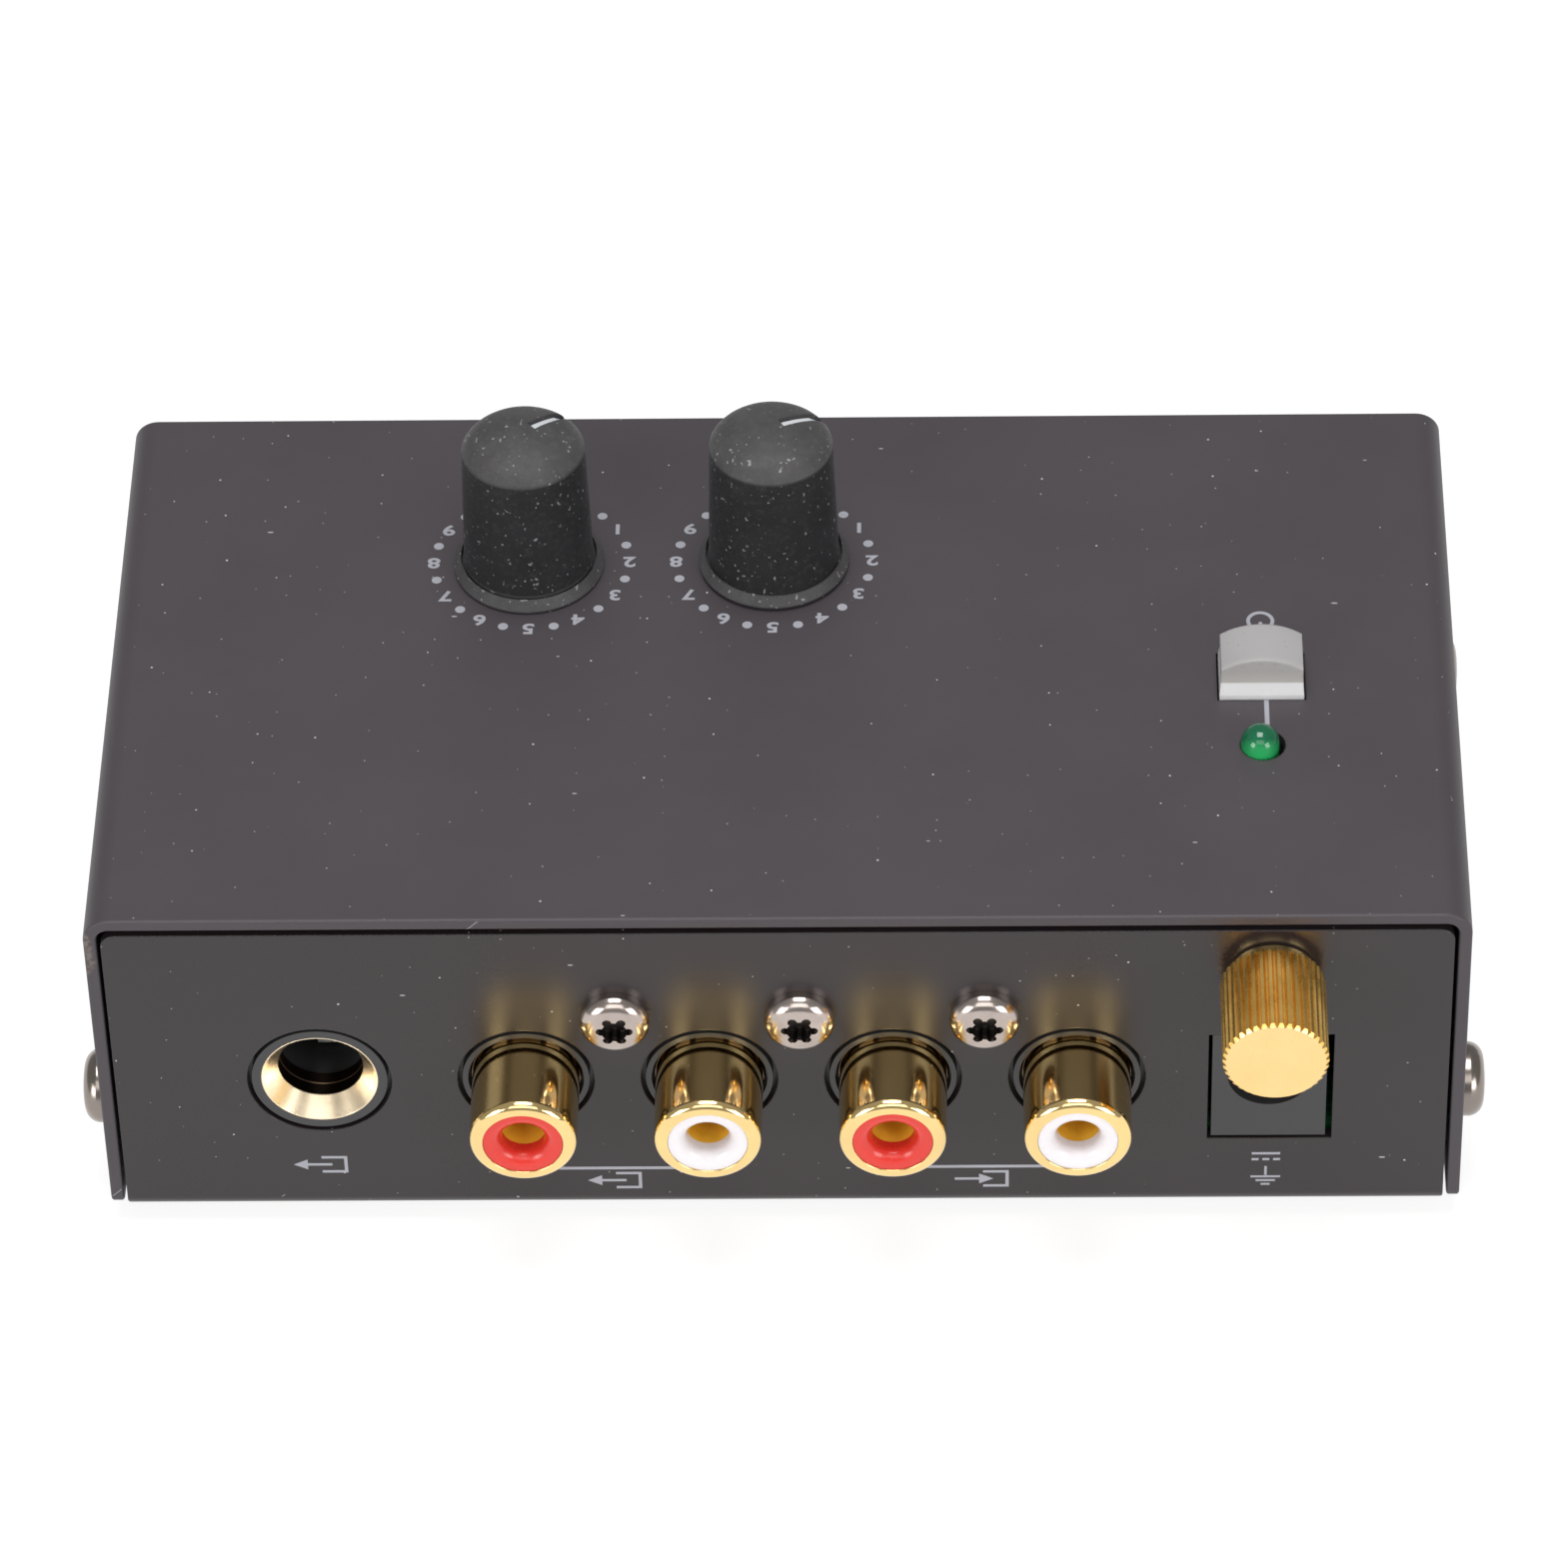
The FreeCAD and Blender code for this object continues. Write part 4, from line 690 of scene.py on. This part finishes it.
# ---------------------------------------------------------------------------
# Inside the lamp's resin: the cup that holds the die, and its post
# ---------------------------------------------------------------------------
def lathe(name, prof, cx, cy, n=40):
    """prof: (radius, z) pairs from the axis at the bottom to the axis on top."""
    bm = bmesh.new()
    rings = []
    for r, z in prof:
        if r < 1e-6:
            rings.append([bm.verts.new((cx * MM, cy * MM, z * MM))])
        else:
            rings.append([bm.verts.new(((cx + r * math.cos(2 * math.pi * i / n)) * MM,
                                        (cy + r * math.sin(2 * math.pi * i / n)) * MM, z * MM))
                          for i in range(n)])
    for a, b in zip(rings, rings[1:]):
        for i in range(n):
            j = (i + 1) % n
            if len(a) == 1:
                bm.faces.new((a[0], b[j], b[i]))
            elif len(b) == 1:
                bm.faces.new((a[i], a[j], b[0]))
            else:
                bm.faces.new((a[i], a[j], b[j], b[i]))
    return finish_mesh(bm, name)


me = lathe("lamp_cup", [(0, TOP - 4.6), (0.32, TOP - 4.6), (0.32, TOP - 2.6), (0.62, TOP - 1.9),
                        (0.62, TOP - 1.2), (0.5, TOP - 1.2), (0.28, TOP - 1.55), (0, TOP - 1.55)],
           -36.99, YR - 18.8, 24)
piece("lamp_cup", me, TIN)

# silver contact that crosses the lower part of the jack's bore
bm = bmesh.new()
jx, jy, jz = 35.44, YR - 8.2, 15.77
for y0, y1, z0, z1 in ((-0.75, -0.25, -3.34, -3.12), (-0.25, 0.35, -3.12, -3.02), (0.35, 0.8, -3.02, -3.22)):
    lo, hi = [], []
    for xx, yy, zz in ((-2.5, y0, z0), (0.7, y0, z0), (0.7, y1, z1), (-2.5, y1, z1)):
        hi.append(bm.verts.new(((jx + xx) * MM, (jy + yy) * MM, (jz + zz) * MM)))
        lo.append(bm.verts.new(((jx + xx) * MM, (jy + yy) * MM, (jz + zz - 0.12) * MM)))
    bm.faces.new(hi)
    bm.faces.new(lo[::-1])
    for i in range(4):
        j = (i + 1) % 4
        bm.faces.new((hi[i], lo[i], lo[j], hi[j]))
piece("jack_mouth_contact", finish_mesh(bm, "jack_mouth_contact"), STRIP)

# ---------------------------------------------------------------------------
# Stage: pale floor, soft studio light, camera
# ---------------------------------------------------------------------------
bm = bmesh.new()
S = 3.0
vs = [bm.verts.new(p) for p in ((-S, -S, -0.0001), (S, -S, -0.0001), (S, S, -0.0001), (-S, S, -0.0001))]
bm.faces.new(vs)
me = finish_mesh(bm, "floor")
floor = bpy.data.objects.new("floor", me)
scene.collection.objects.link(floor)
fm = Mat("floor_mat")
fm.set(Base_Color=fm.mix(fm.noise(3, 2), (0.215, 0.215, 0.215), (0.225, 0.225, 0.225)), Roughness=0.9)
fm.set(Specular_IOR_Level=0.0)
fm.p.inputs["Emission Color"].default_value = (1.0, 1.0, 1.0, 1.0)
fm.p.inputs["Emission Strength"].default_value = 0.83
me.materials.append(fm.m)

world = bpy.data.worlds.new("studio")
scene.world = world
world.use_nodes = True
bg = world.node_tree.nodes["Background"]
bg.inputs[0].default_value = (1.0, 1.0, 1.0, 1.0)
bg.inputs[1].default_value = 0.36


def area(name, loc, target, sx, sy, power):
    li = bpy.data.lights.new(name, "AREA")
    li.shape = "RECTANGLE"
    li.size = sx
    li.size_y = sy
    li.energy = power
    ob = bpy.data.objects.new(name, li)
    ob.location = loc
    d = Vector(target) - Vector(loc)
    ob.rotation_euler = d.to_track_quat("-Z", "Y").to_euler()
    scene.collection.objects.link(ob)
    return ob


area("overhead", (0.0, 0.0, 0.92), (0, 0, 0.02), 0.5, 0.5, 6.6)
area("front_high", (0.0, 0.80, 0.80), (0, 0, 0.02), 0.9, 0.5, 2.8)
area("soft_left", (0.64, 0.67, 0.29), (0, 0, 0.02), 0.42, 0.42, 3.5)
area("soft_right", (-0.64, 0.67, 0.29), (0, 0, 0.02), 0.42, 0.42, 3.5)

cam_data = bpy.data.cameras.new("camera")
cam = bpy.data.objects.new("camera", cam_data)
scene.collection.objects.link(cam)
scene.camera = cam
cam_data.sensor_width = 36.0
cam_data.lens = 8191.54 / 1569.0 * 36.0
cam_data.shift_y = -6.506 / 1569.0
cam_data.clip_start = 0.01
cam_data.clip_end = 20.0
right = Vector((-0.99969669, -0.01335409, -0.02069282))
up = Vector((-0.00575279, -0.69035712, 0.72344589))
back = -Vector((0.0239464, -0.7233455, -0.69007091))
rot = Matrix((right, up, back)).transposed()
cam.matrix_world = Matrix.Translation((-0.01545347, 0.46273251, 0.46610058)) @ rot.to_4x4()

scene.view_settings.view_transform = "Standard"
scene.view_settings.look = "None"
scene.view_settings.exposure = 0.0
